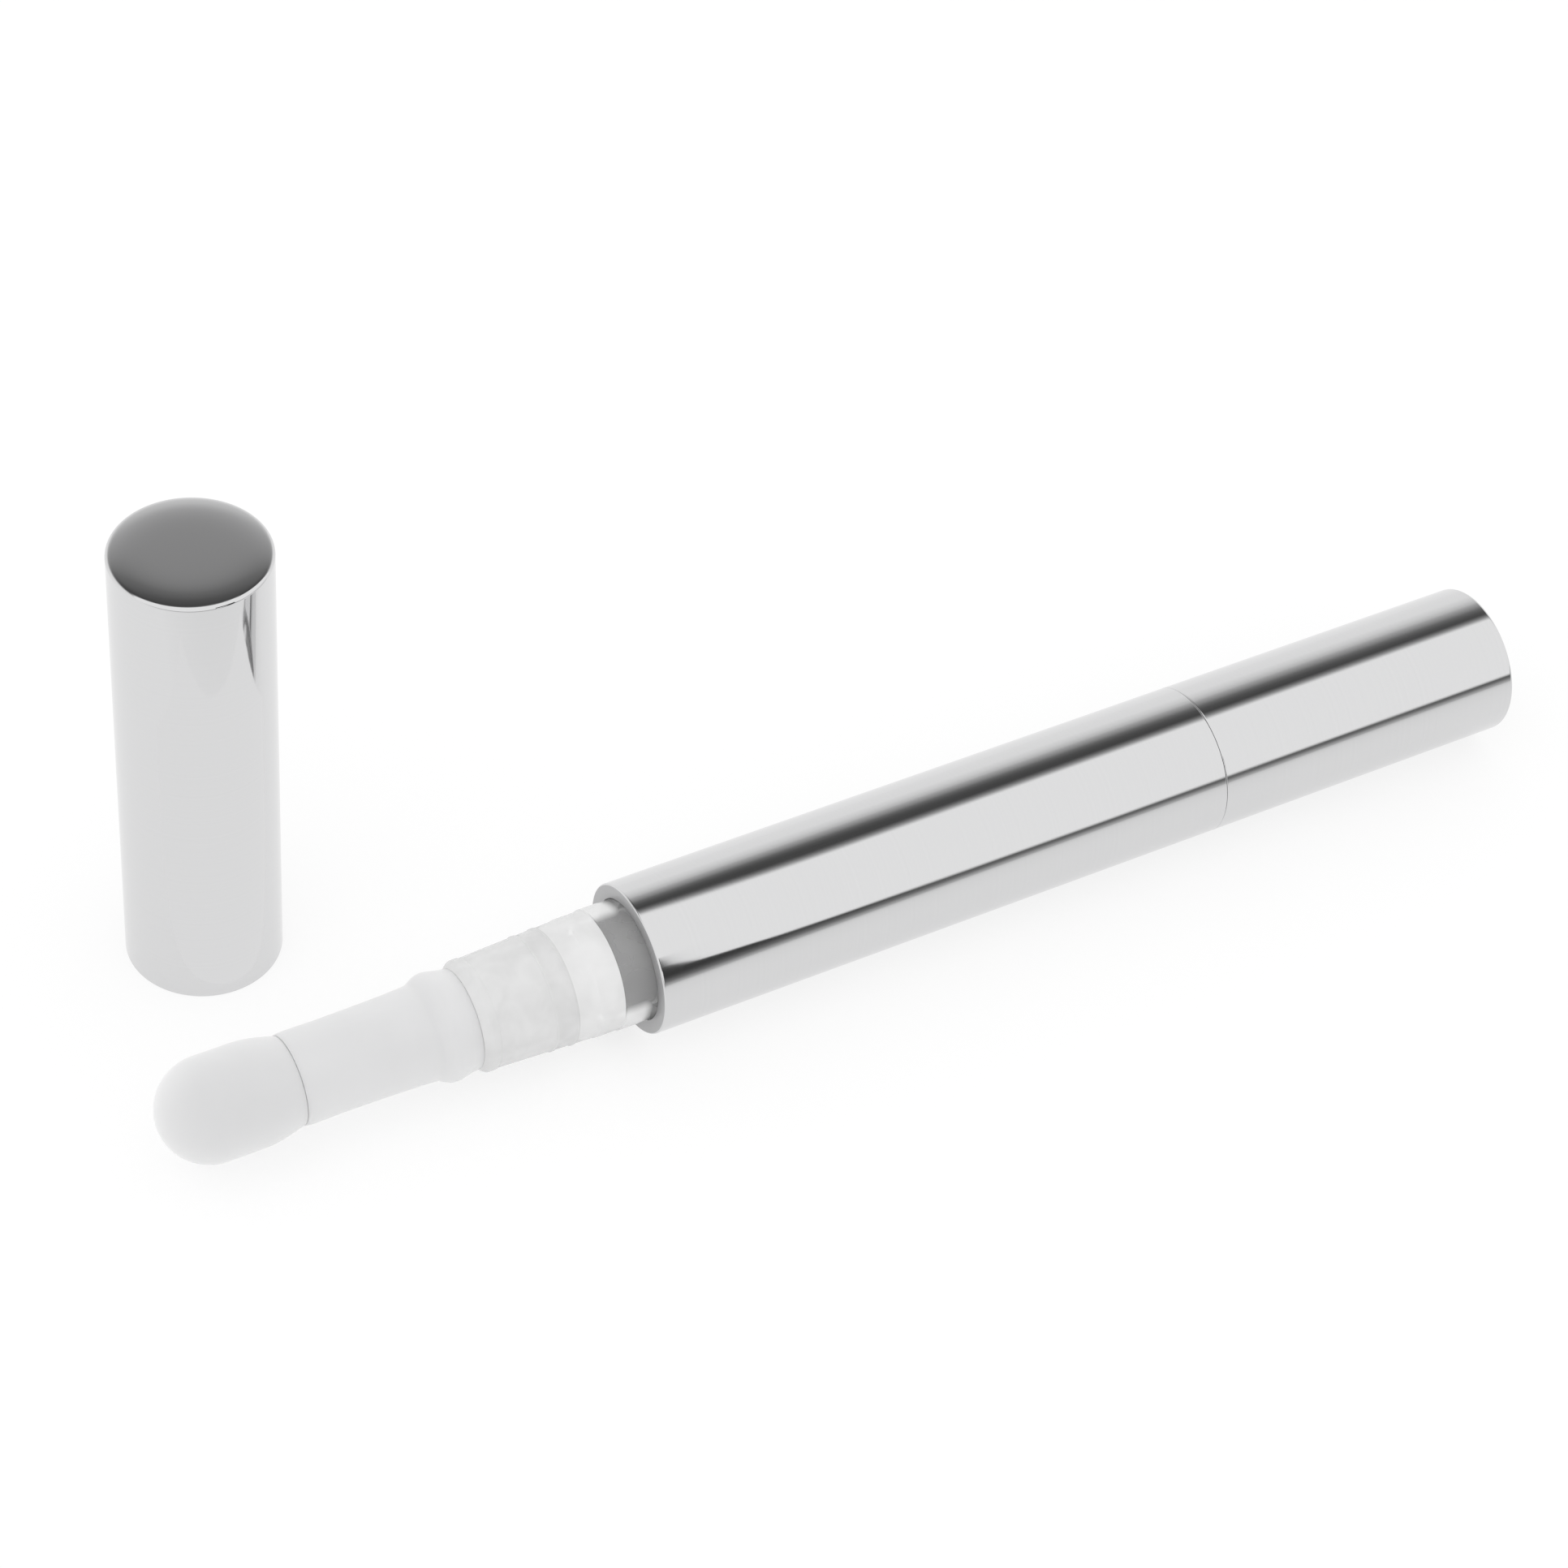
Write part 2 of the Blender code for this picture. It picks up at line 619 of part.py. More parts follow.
def make_reservoir_tube(holder):
    """The inner tube that holds the product, with a seat for the neck at its front."""
    seat_rear = NECK_SPIGOT + FACE_GAP
    points = [
        (SEAT_RADIUS, RESERVOIR_REAR),
        (SEAT_RADIUS, RESERVOIR_FRONT),
        (RESERVOIR_SEAT, RESERVOIR_FRONT),
        (RESERVOIR_SEAT, seat_rear),
        (RESERVOIR_BORE, seat_rear + (RESERVOIR_BORE - RESERVOIR_SEAT)),
        (RESERVOIR_BORE, RESERVOIR_REAR),
    ]
    finish(turned("reservoir_tube", points, holder), (0.90, 0.90, 0.90), 0.35, 0.0, 0.3)


def make_piston(holder):
    """The piston: a cone at the front, a groove for its seal, and a socket that traps the rod's head."""
    cavity = ROD_HEAD_RADIUS + FIT_GAP
    cavity_front = ROD_HEAD_FRONT - HEAD_GAP
    cavity_rear = ROD_HEAD_REAR + HEAD_GAP
    mouth = ROD_NECK_RADIUS + FIT_GAP
    crown_rear = PISTON_FRONT + PISTON_CROWN
    groove_front = crown_rear + PISTON_LAND
    groove_rear = groove_front + PISTON_GROOVE_WIDTH
    groove = PISTON_RADIUS - PISTON_GROOVE_DEPTH
    points = [
        (0.0, cavity_front),
        (cavity, cavity_front),
        (cavity, cavity_rear),
        (mouth, cavity_rear),
        (mouth, PISTON_REAR),
        (PISTON_RADIUS, PISTON_REAR),
        (PISTON_RADIUS, groove_rear),
        (groove, groove_rear),
        (groove, groove_front),
        (PISTON_RADIUS, groove_front),
        (PISTON_RADIUS, crown_rear),
        (PISTON_CROWN_RADIUS, PISTON_FRONT),
        (0.0, PISTON_FRONT),
    ]
    finish(turned("piston", points, holder, closed=False), (0.85, 0.85, 0.85), 0.5)


def make_piston_seal(holder):
    """The soft ring on the piston, whose two lips wipe the reservoir."""
    front = PISTON_FRONT + PISTON_CROWN + PISTON_LAND + FIT_GAP
    rear = front + PISTON_GROOVE_WIDTH - 2 * FIT_GAP
    lip = RESERVOIR_BORE - RUN_GAP
    waist = lip - LIP_DEPTH
    inner = PISTON_RADIUS - PISTON_GROOVE_DEPTH + FIT_GAP
    points = [
        (lip, rear),
        (waist, rear - LIP_LENGTH),
        (waist, front + LIP_LENGTH),
        (lip, front),
        (inner, front),
        (inner, rear),
    ]
    finish(turned("piston_seal", points, holder), (0.55, 0.55, 0.56), 0.55)


def make_screw_rod(holder):
    """The lead screw: one right-hand thread, cut by two flats, with a head that turns in the piston."""
    form = threaded_bar(
        ROD_RADIUS, ROD_RADIUS - THREAD_DEPTH, THREAD_CREST, THREAD_FLANK,
        NUT_FRONT - 2 * THREAD_LEAD, ROD_REAR + 2 * THREAD_LEAD,
    )
    mesh = bpy.data.meshes.new("screw_rod")
    form.to_mesh(mesh)
    form.free()
    item = add_object("screw_rod", mesh, holder)
    sizes = (2 * ROD_FLAT, 4 * ROD_RADIUS, ROD_REAR - NUT_FRONT)
    middle = Vector((0.0, 0.0, (NUT_FRONT + ROD_REAR) / 2))
    combine(item, boxes("screw_rod_flats", sizes, [middle], [0.0], holder), "INTERSECT")
    points = [
        (0.0, NUT_FRONT + OVERRUN),
        (ROD_NECK_RADIUS, NUT_FRONT + OVERRUN),
        (ROD_NECK_RADIUS, ROD_HEAD_REAR),
        (ROD_HEAD_RADIUS, ROD_HEAD_REAR),
        (ROD_HEAD_RADIUS, ROD_HEAD_FRONT),
        (0.0, ROD_HEAD_FRONT),
    ]
    head = add_cutter("screw_rod_head", outline_mesh("screw_rod_head", points, False), holder)
    turn(head, THREAD_SIDES)
    combine(item, head, "UNION")
    finish(item, (0.82, 0.82, 0.82), 0.4)


def make_guide_nut(holder):
    """The fixed nut, with a thread cut to the rod's own, and a relief groove between hub and rim."""
    hub = ROD_RADIUS + THREAD_GAP + NUT_HUB_WALL
    rim = SEAT_RADIUS - NUT_RIM_WALL
    relief = NUT_FRONT + NUT_RELIEF
    recess = NUT_REAR - NUT_RECESS
    points = [
        (0.0, recess),
        (rim, recess),
        (rim, NUT_REAR),
        (SEAT_RADIUS, NUT_REAR),
        (SEAT_RADIUS, NUT_FRONT),
        (rim, NUT_FRONT),
        (rim, relief),
        (hub, relief),
        (hub, NUT_FRONT),
        (0.0, NUT_FRONT),
    ]
    item = turned("guide_nut", points, holder, closed=False)
    form = threaded_bar(
        ROD_RADIUS + THREAD_GAP, ROD_RADIUS - THREAD_DEPTH + THREAD_GAP,
        THREAD_CREST + 2 * THREAD_GAP, THREAD_FLANK,
        NUT_FRONT - 2 * THREAD_LEAD, NUT_REAR + 2 * THREAD_LEAD,
    )
    mesh = bpy.data.meshes.new("guide_nut_thread")
    form.to_mesh(mesh)
    form.free()
    combine(item, add_cutter("guide_nut_thread", mesh, holder), "DIFFERENCE")
    finish(item, (0.75, 0.75, 0.76), 0.5)


def make_ratchet_ring(holder):
    """The fixed ring of saw teeth that the pawls click over."""
    pitch = math.tau / RATCHET_TEETH
    teeth = []
    for index in range(RATCHET_TEETH):
        teeth.append(polar(RATCHET_CREST, pitch * index))
        teeth.append(polar(RATCHET_ROOT, pitch * index))
    outlines = (circle(SEAT_RADIUS, PIECE_SIDES), teeth)
    item = flat_plate("ratchet_ring", outlines, RATCHET_FRONT, RATCHET_REAR, holder)
    finish(item, (0.78, 0.78, 0.78), 0.5)


def make_rear_bush(holder):
    """The bush that the drive sleeve turns in. Its front skirt holds the sleeve's flange."""
    bore = JOURNAL_RADIUS + RUN_GAP
    skirt = FLANGE_RADIUS + FIT_GAP
    step = FLANGE_REAR + FACE_GAP
    points = [
        (SEAT_RADIUS, BUSH_REAR),
        (SEAT_RADIUS, BUSH_FRONT),
        (skirt, BUSH_FRONT),
        (skirt, step),
        (bore, step),
        (bore, BUSH_REAR),
    ]
    finish(turned("rear_bush", points, holder), (0.80, 0.80, 0.80), 0.45)


def make_drive_sleeve(holder):
    """The sleeve that the knob turns: a flatted hole drives the rod, splines carry the knob core."""
    groove = JOURNAL_RADIUS - DRAG_GROOVE_DEPTH
    groove_rear = DRAG_GROOVE_FRONT + DRAG_GROOVE_WIDTH
    points = [
        (0.0, FLANGE_FRONT),
        (SLEEVE_BORE, FLANGE_FRONT),
        (SLEEVE_BORE, SLEEVE_REAR),
        (JOURNAL_RADIUS, SLEEVE_REAR),
        (JOURNAL_RADIUS, groove_rear),
        (groove, groove_rear),
        (groove, DRAG_GROOVE_FRONT),
        (JOURNAL_RADIUS, DRAG_GROOVE_FRONT),
        (JOURNAL_RADIUS, FLANGE_REAR),
        (FLANGE_RADIUS, FLANGE_REAR),
        (FLANGE_RADIUS, FLANGE_FRONT),
        (HUB_RADIUS, FLANGE_FRONT),
        (HUB_RADIUS, HUB_FRONT),
        (0.0, HUB_FRONT),
    ]
    item = turned("drive_sleeve", points, holder, closed=False)
    splines = radial_bars(
        "drive_sleeve_splines", SLEEVE_BORE + SLEEVE_WALL / 2, JOURNAL_RADIUS + SPLINE_HEIGHT,
        SPLINE_WIDTH, CORE_FRONT + SPLINE_SET, SLEEVE_REAR - SPLINE_SET, SPLINE_COUNT, holder,
    )
    combine(item, splines, "UNION")
    key = flatted_bar(
        "drive_sleeve_key", ROD_RADIUS + THREAD_GAP, ROD_FLAT + THREAD_GAP,
        HUB_FRONT - OVERRUN, FLANGE_FRONT + OVERRUN, holder,
    )
    combine(item, key, "DIFFERENCE")
    low = HUB_FRONT - OVERRUN
    high = FLANGE_FRONT - FIT_GAP
    sizes = (HUB_RADIUS, 4 * HUB_RADIUS, high - low)
    middle = Vector((HUB_FLAT + HUB_RADIUS / 2, 0.0, (low + high) / 2))
    sides = boxes("drive_sleeve_sides", sizes, [middle, middle], [0.0, math.pi], holder)
    combine(item, sides, "DIFFERENCE")
    finish(item, (0.82, 0.82, 0.82), 0.45)


def make_pawl_ring(holder):
    """The click ring: a flatted hub with spring arms whose noses reach the ratchet's teeth."""
    hole_radius = HUB_RADIUS + FIT_GAP
    hole_flat = HUB_FLAT + FIT_GAP
    hub = hole_radius + PAWL_RING_WALL
    tip = RATCHET_CREST - PAWL_GAP
    hole = [(max(-hole_flat, min(hole_flat, x)), y) for x, y in circle(hole_radius, PIECE_SIDES)]
    outline = []
    period = math.tau / PAWL_ARMS
    for arm in range(PAWL_ARMS):
        root = period * arm
        outline += [
            polar(hub + (tip - hub) * rise, root + PAWL_SWEEP * run)
            for run, rise in PAWL_OUTER_SHARES + PAWL_INNER_SHARES
        ]
        under = PAWL_SWEEP * PAWL_INNER_SHARES[-1][0]
        steps = PIECE_SIDES // PAWL_ARMS
        outline += [
            polar(hub, root + under + (period - under) * step / steps) for step in range(steps + 1)
        ]
    low = HUB_FRONT + FACE_GAP
    high = FLANGE_FRONT - FACE_GAP
    finish(flat_plate("pawl_ring", (outline, hole), low, high, holder), (0.70, 0.70, 0.71), 0.5)


def make_drag_ring(holder):
    """The rubber ring that gives the knob its drag."""
    inner = JOURNAL_RADIUS - DRAG_GROOVE_DEPTH + RUN_GAP
    station = DRAG_GROOVE_FRONT + DRAG_GROOVE_WIDTH / 2
    finish(seal_ring("drag_ring", inner, JOURNAL_RADIUS, station, holder), (0.2, 0.2, 0.2), 0.6)


def make_knob_core(holder):
    """The moulded core inside the knob's shell, with slots for the sleeve's splines."""
    inner_end = CORE_REAR - CORE_END_WALL
    points = [
        (0.0, CORE_REAR),
        (SEAT_RADIUS - END_ROUND, CORE_REAR),
        (SEAT_RADIUS, CORE_REAR - END_ROUND),
        (SEAT_RADIUS, CORE_FRONT),
        (CORE_BORE, CORE_FRONT),
        (CORE_BORE, inner_end),
        (0.0, inner_end),
    ]
    item = turned("knob_core", points, holder, closed=False)
    slots = radial_bars(
        "knob_core_slots", JOURNAL_RADIUS - SPLINE_HEIGHT, JOURNAL_RADIUS + SPLINE_HEIGHT + FIT_GAP,
        SPLINE_WIDTH + 2 * FIT_GAP, CORE_FRONT - OVERRUN, SLEEVE_REAR, SPLINE_COUNT, holder,
    )
    combine(item, slots, "DIFFERENCE")
    finish(item, (0.72, 0.72, 0.73), 0.5)


clear_scene()
PARTS = new_collection("twist_pen_tube")
CUTTERS = new_collection("twist_pen_tube_cutters")

# The pen's axis, laid down so that the knob points along +X
pen_axis = bpy.data.objects.new("pen_axis", None)
PARTS.objects.link(pen_axis)
pen_axis.location = (MOUTH_X, PEN_Y, OUTER_RADIUS)
pen_axis.rotation_euler = (0.0, math.pi / 2, 0.0)

# The cap's axis, upright beside the tip
cap_axis = bpy.data.objects.new("cap_axis", None)
PARTS.objects.link(cap_axis)
cap_axis.location = (CAP_X, CAP_Y, 0.0)

make_cap_shell(cap_axis)
make_cap_liner(cap_axis)
make_applicator_tip(pen_axis)
make_applicator_stem(pen_axis)
make_neck_housing(pen_axis)
make_neck_collar(pen_axis)
make_neck_seal(pen_axis)
make_barrel_shell(pen_axis)
make_reservoir_tube(pen_axis)
make_piston(pen_axis)
make_piston_seal(pen_axis)
make_screw_rod(pen_axis)
make_guide_nut(pen_axis)
make_ratchet_ring(pen_axis)
make_pawl_ring(pen_axis)
make_drive_sleeve(pen_axis)
make_drag_ring(pen_axis)
make_rear_bush(pen_axis)
make_knob_core(pen_axis)
make_knob_shell(pen_axis)

print("mouth at x", MOUTH_X, "knob end at x", MOUTH_X + KNOB_REAR, "stroke", STROKE)
print("piston front", PISTON_FRONT, "neck spigot end", NECK_SPIGOT, "rod end", ROD_REAR)
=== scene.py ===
# %% [markdown]
# # A metal twist pen and its cap
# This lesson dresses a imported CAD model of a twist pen, a slim dispenser for a small dose of liquid
# or gel. The pen lies on its side with its soft tip out, and its cap stands beside the tip.
# The CAD solids are right in size but plain, with flat facets round every cylinder.
# A mirror finish shows each facet, so the outer pieces are turned again here with smooth sides,
# and every piece, the hidden ones too, gets a finish made of nodes.

import math

import bmesh
import bpy
from mathutils import Matrix, Vector


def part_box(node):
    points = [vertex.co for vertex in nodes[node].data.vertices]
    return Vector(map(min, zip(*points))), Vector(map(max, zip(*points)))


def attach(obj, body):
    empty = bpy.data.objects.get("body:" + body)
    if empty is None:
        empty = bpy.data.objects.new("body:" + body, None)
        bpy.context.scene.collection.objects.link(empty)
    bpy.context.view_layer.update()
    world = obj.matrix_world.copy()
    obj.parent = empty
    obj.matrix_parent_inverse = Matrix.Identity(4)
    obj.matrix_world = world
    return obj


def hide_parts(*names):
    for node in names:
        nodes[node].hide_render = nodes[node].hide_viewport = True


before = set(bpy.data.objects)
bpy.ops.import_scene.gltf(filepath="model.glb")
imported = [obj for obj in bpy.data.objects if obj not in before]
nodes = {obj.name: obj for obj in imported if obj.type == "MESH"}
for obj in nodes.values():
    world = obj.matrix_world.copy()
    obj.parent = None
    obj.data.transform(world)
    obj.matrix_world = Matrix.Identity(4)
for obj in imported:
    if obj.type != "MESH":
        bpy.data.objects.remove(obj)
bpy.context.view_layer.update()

# %% [markdown]
# ## Where the pen and the cap are
# The pen's pieces are all round about one line, and so are the cap's.
# Their places could be typed in again from the CAD source, but reading them from the solids' own boxes
# keeps this file right if the CAD moves. Sizes below are in millimetres, and MM turns them into metres.

# %% Find the two turning axes
MM = 0.001

barrel_low, barrel_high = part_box("barrel_shell")
cap_low, cap_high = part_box("cap_shell")
mouth = Vector((barrel_low.x, (barrel_low.y + barrel_high.y) / 2, (barrel_low.z + barrel_high.z) / 2))
cap_foot = Vector(((cap_low.x + cap_high.x) / 2, (cap_low.y + cap_high.y) / 2, cap_low.z))
PEN_LINE = Matrix.Translation(mouth) @ Matrix.Rotation(math.pi / 2, 4, "Y")
CAP_LINE = Matrix.Translation(cap_foot)
print("mouth at", [round(v / MM, 2) for v in mouth], "cap foot at", [round(v / MM, 2) for v in cap_foot])

# %% [markdown]
# ## The camera
# The photograph was taken from the front left and well above, with a long lens.
# A camera could be placed by eye, but this one was fitted to the outlines of the pen and the cap,
# so that the render and the photograph can be laid over each other.

# %% Camera at the photograph's viewpoint
SENSOR = 36.0
LENS = 102.72
CAMERA_PLACE = (-0.157767, -0.243369, 0.296792)
pitch, yaw, roll = (math.radians(angle) for angle in (44.89, 32.817, 5.378))

camera_data = bpy.data.cameras.new("photo camera")
camera_data.sensor_width = SENSOR
camera_data.lens = LENS
camera_data.clip_start = 0.01
camera_data.clip_end = 20.0
camera = bpy.data.objects.new("photo camera", camera_data)
bpy.context.scene.collection.objects.link(camera)

ahead = Vector((math.sin(yaw) * math.cos(pitch), math.cos(yaw) * math.cos(pitch), -math.sin(pitch)))
level = Vector((math.cos(yaw), -math.sin(yaw), 0.0))
upward = level.cross(ahead)
right = level * math.cos(roll) + upward * math.sin(roll)
top = upward * math.cos(roll) - level * math.sin(roll)
turned_frame = Matrix((right, top, -ahead)).transposed().to_4x4()
camera.matrix_world = Matrix.Translation(CAMERA_PLACE) @ turned_frame
bpy.context.scene.camera = camera
print("lens", LENS, "mm")

# %% [markdown]
# ## How a round piece is made
# Each outer piece of the real pen is drawn, turned or moulded round one axis.
# A ready cylinder could be scaled and cut, but a lathe's way is closer to the real thing:
# the piece's outline is drawn once in the XZ plane, and bmesh's spin turns it all the way round.
# use_merge closes the last side onto the first, and doubles on the axis are merged into one point.
# Pieces that hardly show get fewer sides.

# %% Spin an outline
SIDES = 160
FEWER_SIDES = 96
TINY = 0.002 * MM


def spun(outline, closed=True, sides=SIDES):
    """Turn an outline of (radius, station) points, in millimetres, about Z."""
    form = bmesh.new()
    verts = [form.verts.new((radius * MM, 0.0, station * MM)) for radius, station in outline]
    edges = [form.edges.new(pair) for pair in zip(verts, verts[1:])]
    if closed:
        edges.append(form.edges.new((verts[-1], verts[0])))
    bmesh.ops.spin(
        form, geom=verts + edges, cent=(0.0, 0.0, 0.0), axis=(0.0, 0.0, 1.0),
        angle=math.tau, steps=sides, use_merge=True,
    )
    bmesh.ops.remove_doubles(form, verts=form.verts, dist=TINY / 10)
    bmesh.ops.recalc_face_normals(form, faces=form.faces)
    return form


print("a full turn has", SIDES, "sides")

# %% [markdown]
# ## Rounded edges
# No real edge is sharp, and on polished metal the small round at an edge is what catches the light.
# The round could be drawn into the outline, but it is easier to name the corner and let the bevel
# operator cut it: every edge of the ring which that corner drew is picked and bevelled together.

# %% Bevel the rings at chosen corners
def ring(form, radius, station):
    """The edges of the ring that one corner of the outline drew."""
    return [
        edge for edge in form.edges
        if all(
            abs(vert.co.xy.length - radius * MM) < TINY and abs(vert.co.z - station * MM) < TINY
            for vert in edge.verts
        )
    ]


def soften(form, corners, size, segments=4):
    """Round the rings at these corners to a radius in millimetres."""
    picked = [edge for radius, station in corners for edge in ring(form, radius, station)]
    bmesh.ops.bevel(
        form, geom=picked, offset=size * MM, offset_type="OFFSET", affect="EDGES",
        segments=segments, profile=0.5, material=-1, clamp_overlap=True,
    )
    print("rounded", len(picked), "edges by", size, "mm")


# %% [markdown]
# ## Keeping a piece
# A finished piece is a mesh whose place is in its vertices, on an object at the origin.
# It is parented to an empty for the CAD body that carries it, and the solids it stands for are hidden.
# Long sides next to small rounds shade unevenly, because a vertex normal is a blend of both.
# Extra loops would cure it; the Weighted Normal modifier does the same without more faces.

# %% Place, smooth and attach a piece
SHARP = math.radians(38)


def keep(name, form, line, body, slot, *replaced):
    """Make the object, parent it to its body's empty, and hide the CAD solids it replaces."""
    form.transform(line)
    mesh = bpy.data.meshes.new(name)
    form.to_mesh(mesh)
    form.free()
    mesh.shade_smooth()
    mesh.set_sharp_from_angle(angle=SHARP)
    piece = bpy.data.objects.new(name, mesh)
    bpy.context.scene.collection.objects.link(piece)
    even = piece.modifiers.new("even shine", "WEIGHTED_NORMAL")
    even.keep_sharp = True
    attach(piece, body)
    if replaced:
        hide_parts(*replaced)
    print(name, "has", len(mesh.polygons), "faces")
    return piece


# %% [markdown]
# ## The drawn shells
# The barrel, the knob and the cap are drawn from sheet aluminium 0.4 mm thick and polished all over.
# Sheet could be made with a Solidify modifier, but the wall is drawn into the outline here,
# because the lip at the barrel's mouth folds inwards and has to end at a known radius.
# The barrel and the knob meet at a seam with two small rolled edges, so the seam shows as a fine
# grey groove and not as a black slot.

# %% Barrel with its turned-in lip
OUTSIDE = 7.0
INSIDE = 6.6
WALL = 0.4
SEAM_FRONT = 58.58
SEAM_REAR = 58.61
SEAM_ROUND = 0.1
MOUTH_ROUND = 0.2
LIP_RADIUS = 5.64
LIP_ROUND = 0.07

barrel_form = spun([
    (OUTSIDE, SEAM_FRONT),
    (OUTSIDE, 0.0),
    (LIP_RADIUS, 0.0),
    (LIP_RADIUS, WALL),
    (INSIDE, WALL),
    (INSIDE, SEAM_FRONT),
])
soften(barrel_form, [(OUTSIDE, 0.0)], MOUTH_ROUND)
soften(barrel_form, [(OUTSIDE, SEAM_FRONT)], SEAM_ROUND)
soften(barrel_form, [(LIP_RADIUS, 0.0)], LIP_ROUND)
barrel_case = keep("barrel_case", barrel_form, PEN_LINE, "barrel", "polished_metal", "barrel_shell")

# %% [markdown]
# ## Closed ends
# A drawn end is never quite flat. The sheet domes by a tenth of a millimetre towards its edge, and a
# polished end shows it: the rim reflects another part of the room than the middle does.
# A plain disc would look like a sticker, so the end follows a steep power curve, nearly flat in the
# middle, and the corner is bevelled after that. The last ring before the corner stays farther in than
# the bevel reaches, or the bevel would run into it and leave notches in the reflection.

# %% Outline of a closed, slightly domed end
END_POWER = 6.5
END_STEPS = (0.0, 0.2, 0.35, 0.45, 0.53, 0.6, 0.66, 0.72, 0.77, 0.82, 0.87, 0.91, 0.935, 1.0)


def domed_end(end, drop):
    """Points from the axis to the edge of an end that falls away by a steep curve."""
    return [(OUTSIDE * share, end - drop * share ** END_POWER) for share in END_STEPS]


print("a domed end has", len(END_STEPS), "rings")

# %% [markdown]
# ## The knob and the cap
# Both are the same kind of case, closed at one end, so one function draws them. They differ in
# length, in how far the end domes and in how round its corner is. The inner wall follows the outer.

# %% Knob and cap
KNOB_END = 91.05
KNOB_DROP = 0.08
KNOB_ROUND = 0.28
CAP_END = 46.95
CAP_DROP = 0.16
CAP_ROUND = 0.3


def closed_case(end, drop, corner, mouth_station):
    """A drawn case, closed at one end and open at the other."""
    form = spun(domed_end(end, drop) + [
        (OUTSIDE, mouth_station),
        (INSIDE, mouth_station),
        (INSIDE, end - WALL - corner),
        (INSIDE - corner, end - WALL - drop),
        (0.0, end - WALL),
    ], closed=False)
    soften(form, [(OUTSIDE, end - drop)], corner, segments=6)
    return form


knob_form = closed_case(KNOB_END, KNOB_DROP, KNOB_ROUND, SEAM_REAR)
soften(knob_form, [(OUTSIDE, SEAM_REAR)], SEAM_ROUND)
knob_case = keep("knob_case", knob_form, PEN_LINE, "knob", "polished_metal", "knob_shell")

cap_form = closed_case(CAP_END, CAP_DROP, CAP_ROUND, 0.0)
soften(cap_form, [(OUTSIDE, 0.0), (INSIDE, 0.0)], 0.12, segments=3)
cap_case = keep("cap_case", cap_form, CAP_LINE, "cap", "polished_metal", "cap_shell")

# %% [markdown]
# ## The liner inside the cap
# The liner is a moulding that grips the pen: a wide skirt over the neck, a snap ring for the bead on
# the stem, and a narrow pocket for the tip. It only shows from below, when the cap is lifted.
# Its outline follows the CAD solid, with smooth sides and rounded lead-in edges.

# %% Cap liner
LINER_TOP = 46.25
LINER_ROOF = 0.7

liner_form = spun([
    (0.0, LINER_TOP),
    (5.5, LINER_TOP),
    (5.5, 16.9),
    (6.4, 16.0),
    (6.4, 0.3),
    (5.8, 0.3),
    (5.8, 3.3),
    (5.7, 3.4),
    (5.7, 15.4),
    (4.77, 16.6),
    (4.77, 17.4),
    (5.17, 17.8),
    (5.17, 20.5),
    (4.93, 20.74),
    (4.93, LINER_TOP - LINER_ROOF),
    (0.0, LINER_TOP - LINER_ROOF),
], closed=False, sides=FEWER_SIDES)
soften(liner_form, [(6.4, 0.3), (5.8, 0.3)], 0.15, segments=3)
cap_inside = keep("cap_inside", liner_form, CAP_LINE, "cap", "white_moulding", "cap_liner")

# %% [markdown]
# ## The neck and the collar inside its root
# The neck is one clear moulding. Its root fills the barrel's mouth and has a flange that the barrel's
# lip traps. A dark satin band is moulded into the root, so the root looks grey in the middle and light
# at both sides, where only clear plastic is in the way. Painting that would look wrong from other
# sides, so the band is a real ring inside a real wall.

# %% Collar band
BAND_OUTSIDE = 4.25
BAND_INSIDE = 3.7
BAND_FRONT = -3.0
BAND_REAR = 0.7

collar_form = spun([
    (BAND_OUTSIDE, BAND_REAR),
    (BAND_OUTSIDE, BAND_FRONT),
    (BAND_INSIDE, BAND_FRONT),
    (BAND_INSIDE, BAND_REAR),
], sides=FEWER_SIDES)
soften(collar_form, [(BAND_OUTSIDE, BAND_FRONT)], 0.08, segments=2)
collar = keep("collar_band", collar_form, PEN_LINE, "barrel", "satin_metal", "neck_collar")

# %% [markdown]
# In front of the root the neck has a step, a slight taper, two fine ridges and a chamfered rim.
# The frosted plug of the stem sits in its front half, and shows faintly through the wall.
# The bore and the seat are modelled too, because they show through the wall as well.
# The outline runs from the bore's rear edge forward along the outside, and back inside.

# %% Neck
RIDGE = 0.07
ROOT_RADIUS = 5.6
ROOT_FRONT = -3.0

neck_form = spun([
    (4.9, 6.5),
    (4.9, 4.4),
    (4.2, 4.4),
    (4.2, 3.2),
    (4.9, 3.2),
    (4.9, 1.3),
    (6.4, 1.3),
    (6.4, 0.7),
    (ROOT_RADIUS, 0.7),
    (ROOT_RADIUS, ROOT_FRONT),
    (5.5, ROOT_FRONT - 0.08),
    (5.5, -5.4),
    (5.42, -5.6),
    (5.35, -7.45),
    (5.35 + RIDGE, -7.55),
    (5.35 + RIDGE, -7.7),
    (5.34, -7.8),
    (5.28, -9.35),
    (5.28 + RIDGE, -9.45),
    (5.28 + RIDGE, -9.6),
    (5.27, -9.7),
    (5.06, -14.8),
    (5.14, -14.95),
    (5.14, -15.6),
    (4.6, -16.3),
    (4.2, -16.3),
    (4.2, -7.3),
    (3.7, -7.3),
    (3.7, -3.3),
    (4.45, -3.3),
    (4.45, 1.0),
    (3.7, 1.0),
    (3.7, 6.5),
])
soften(neck_form, [(5.5, -5.4)], 0.08, segments=2)
soften(neck_form, [(5.14, -15.6), (5.14, -14.95)], 0.1, segments=2)
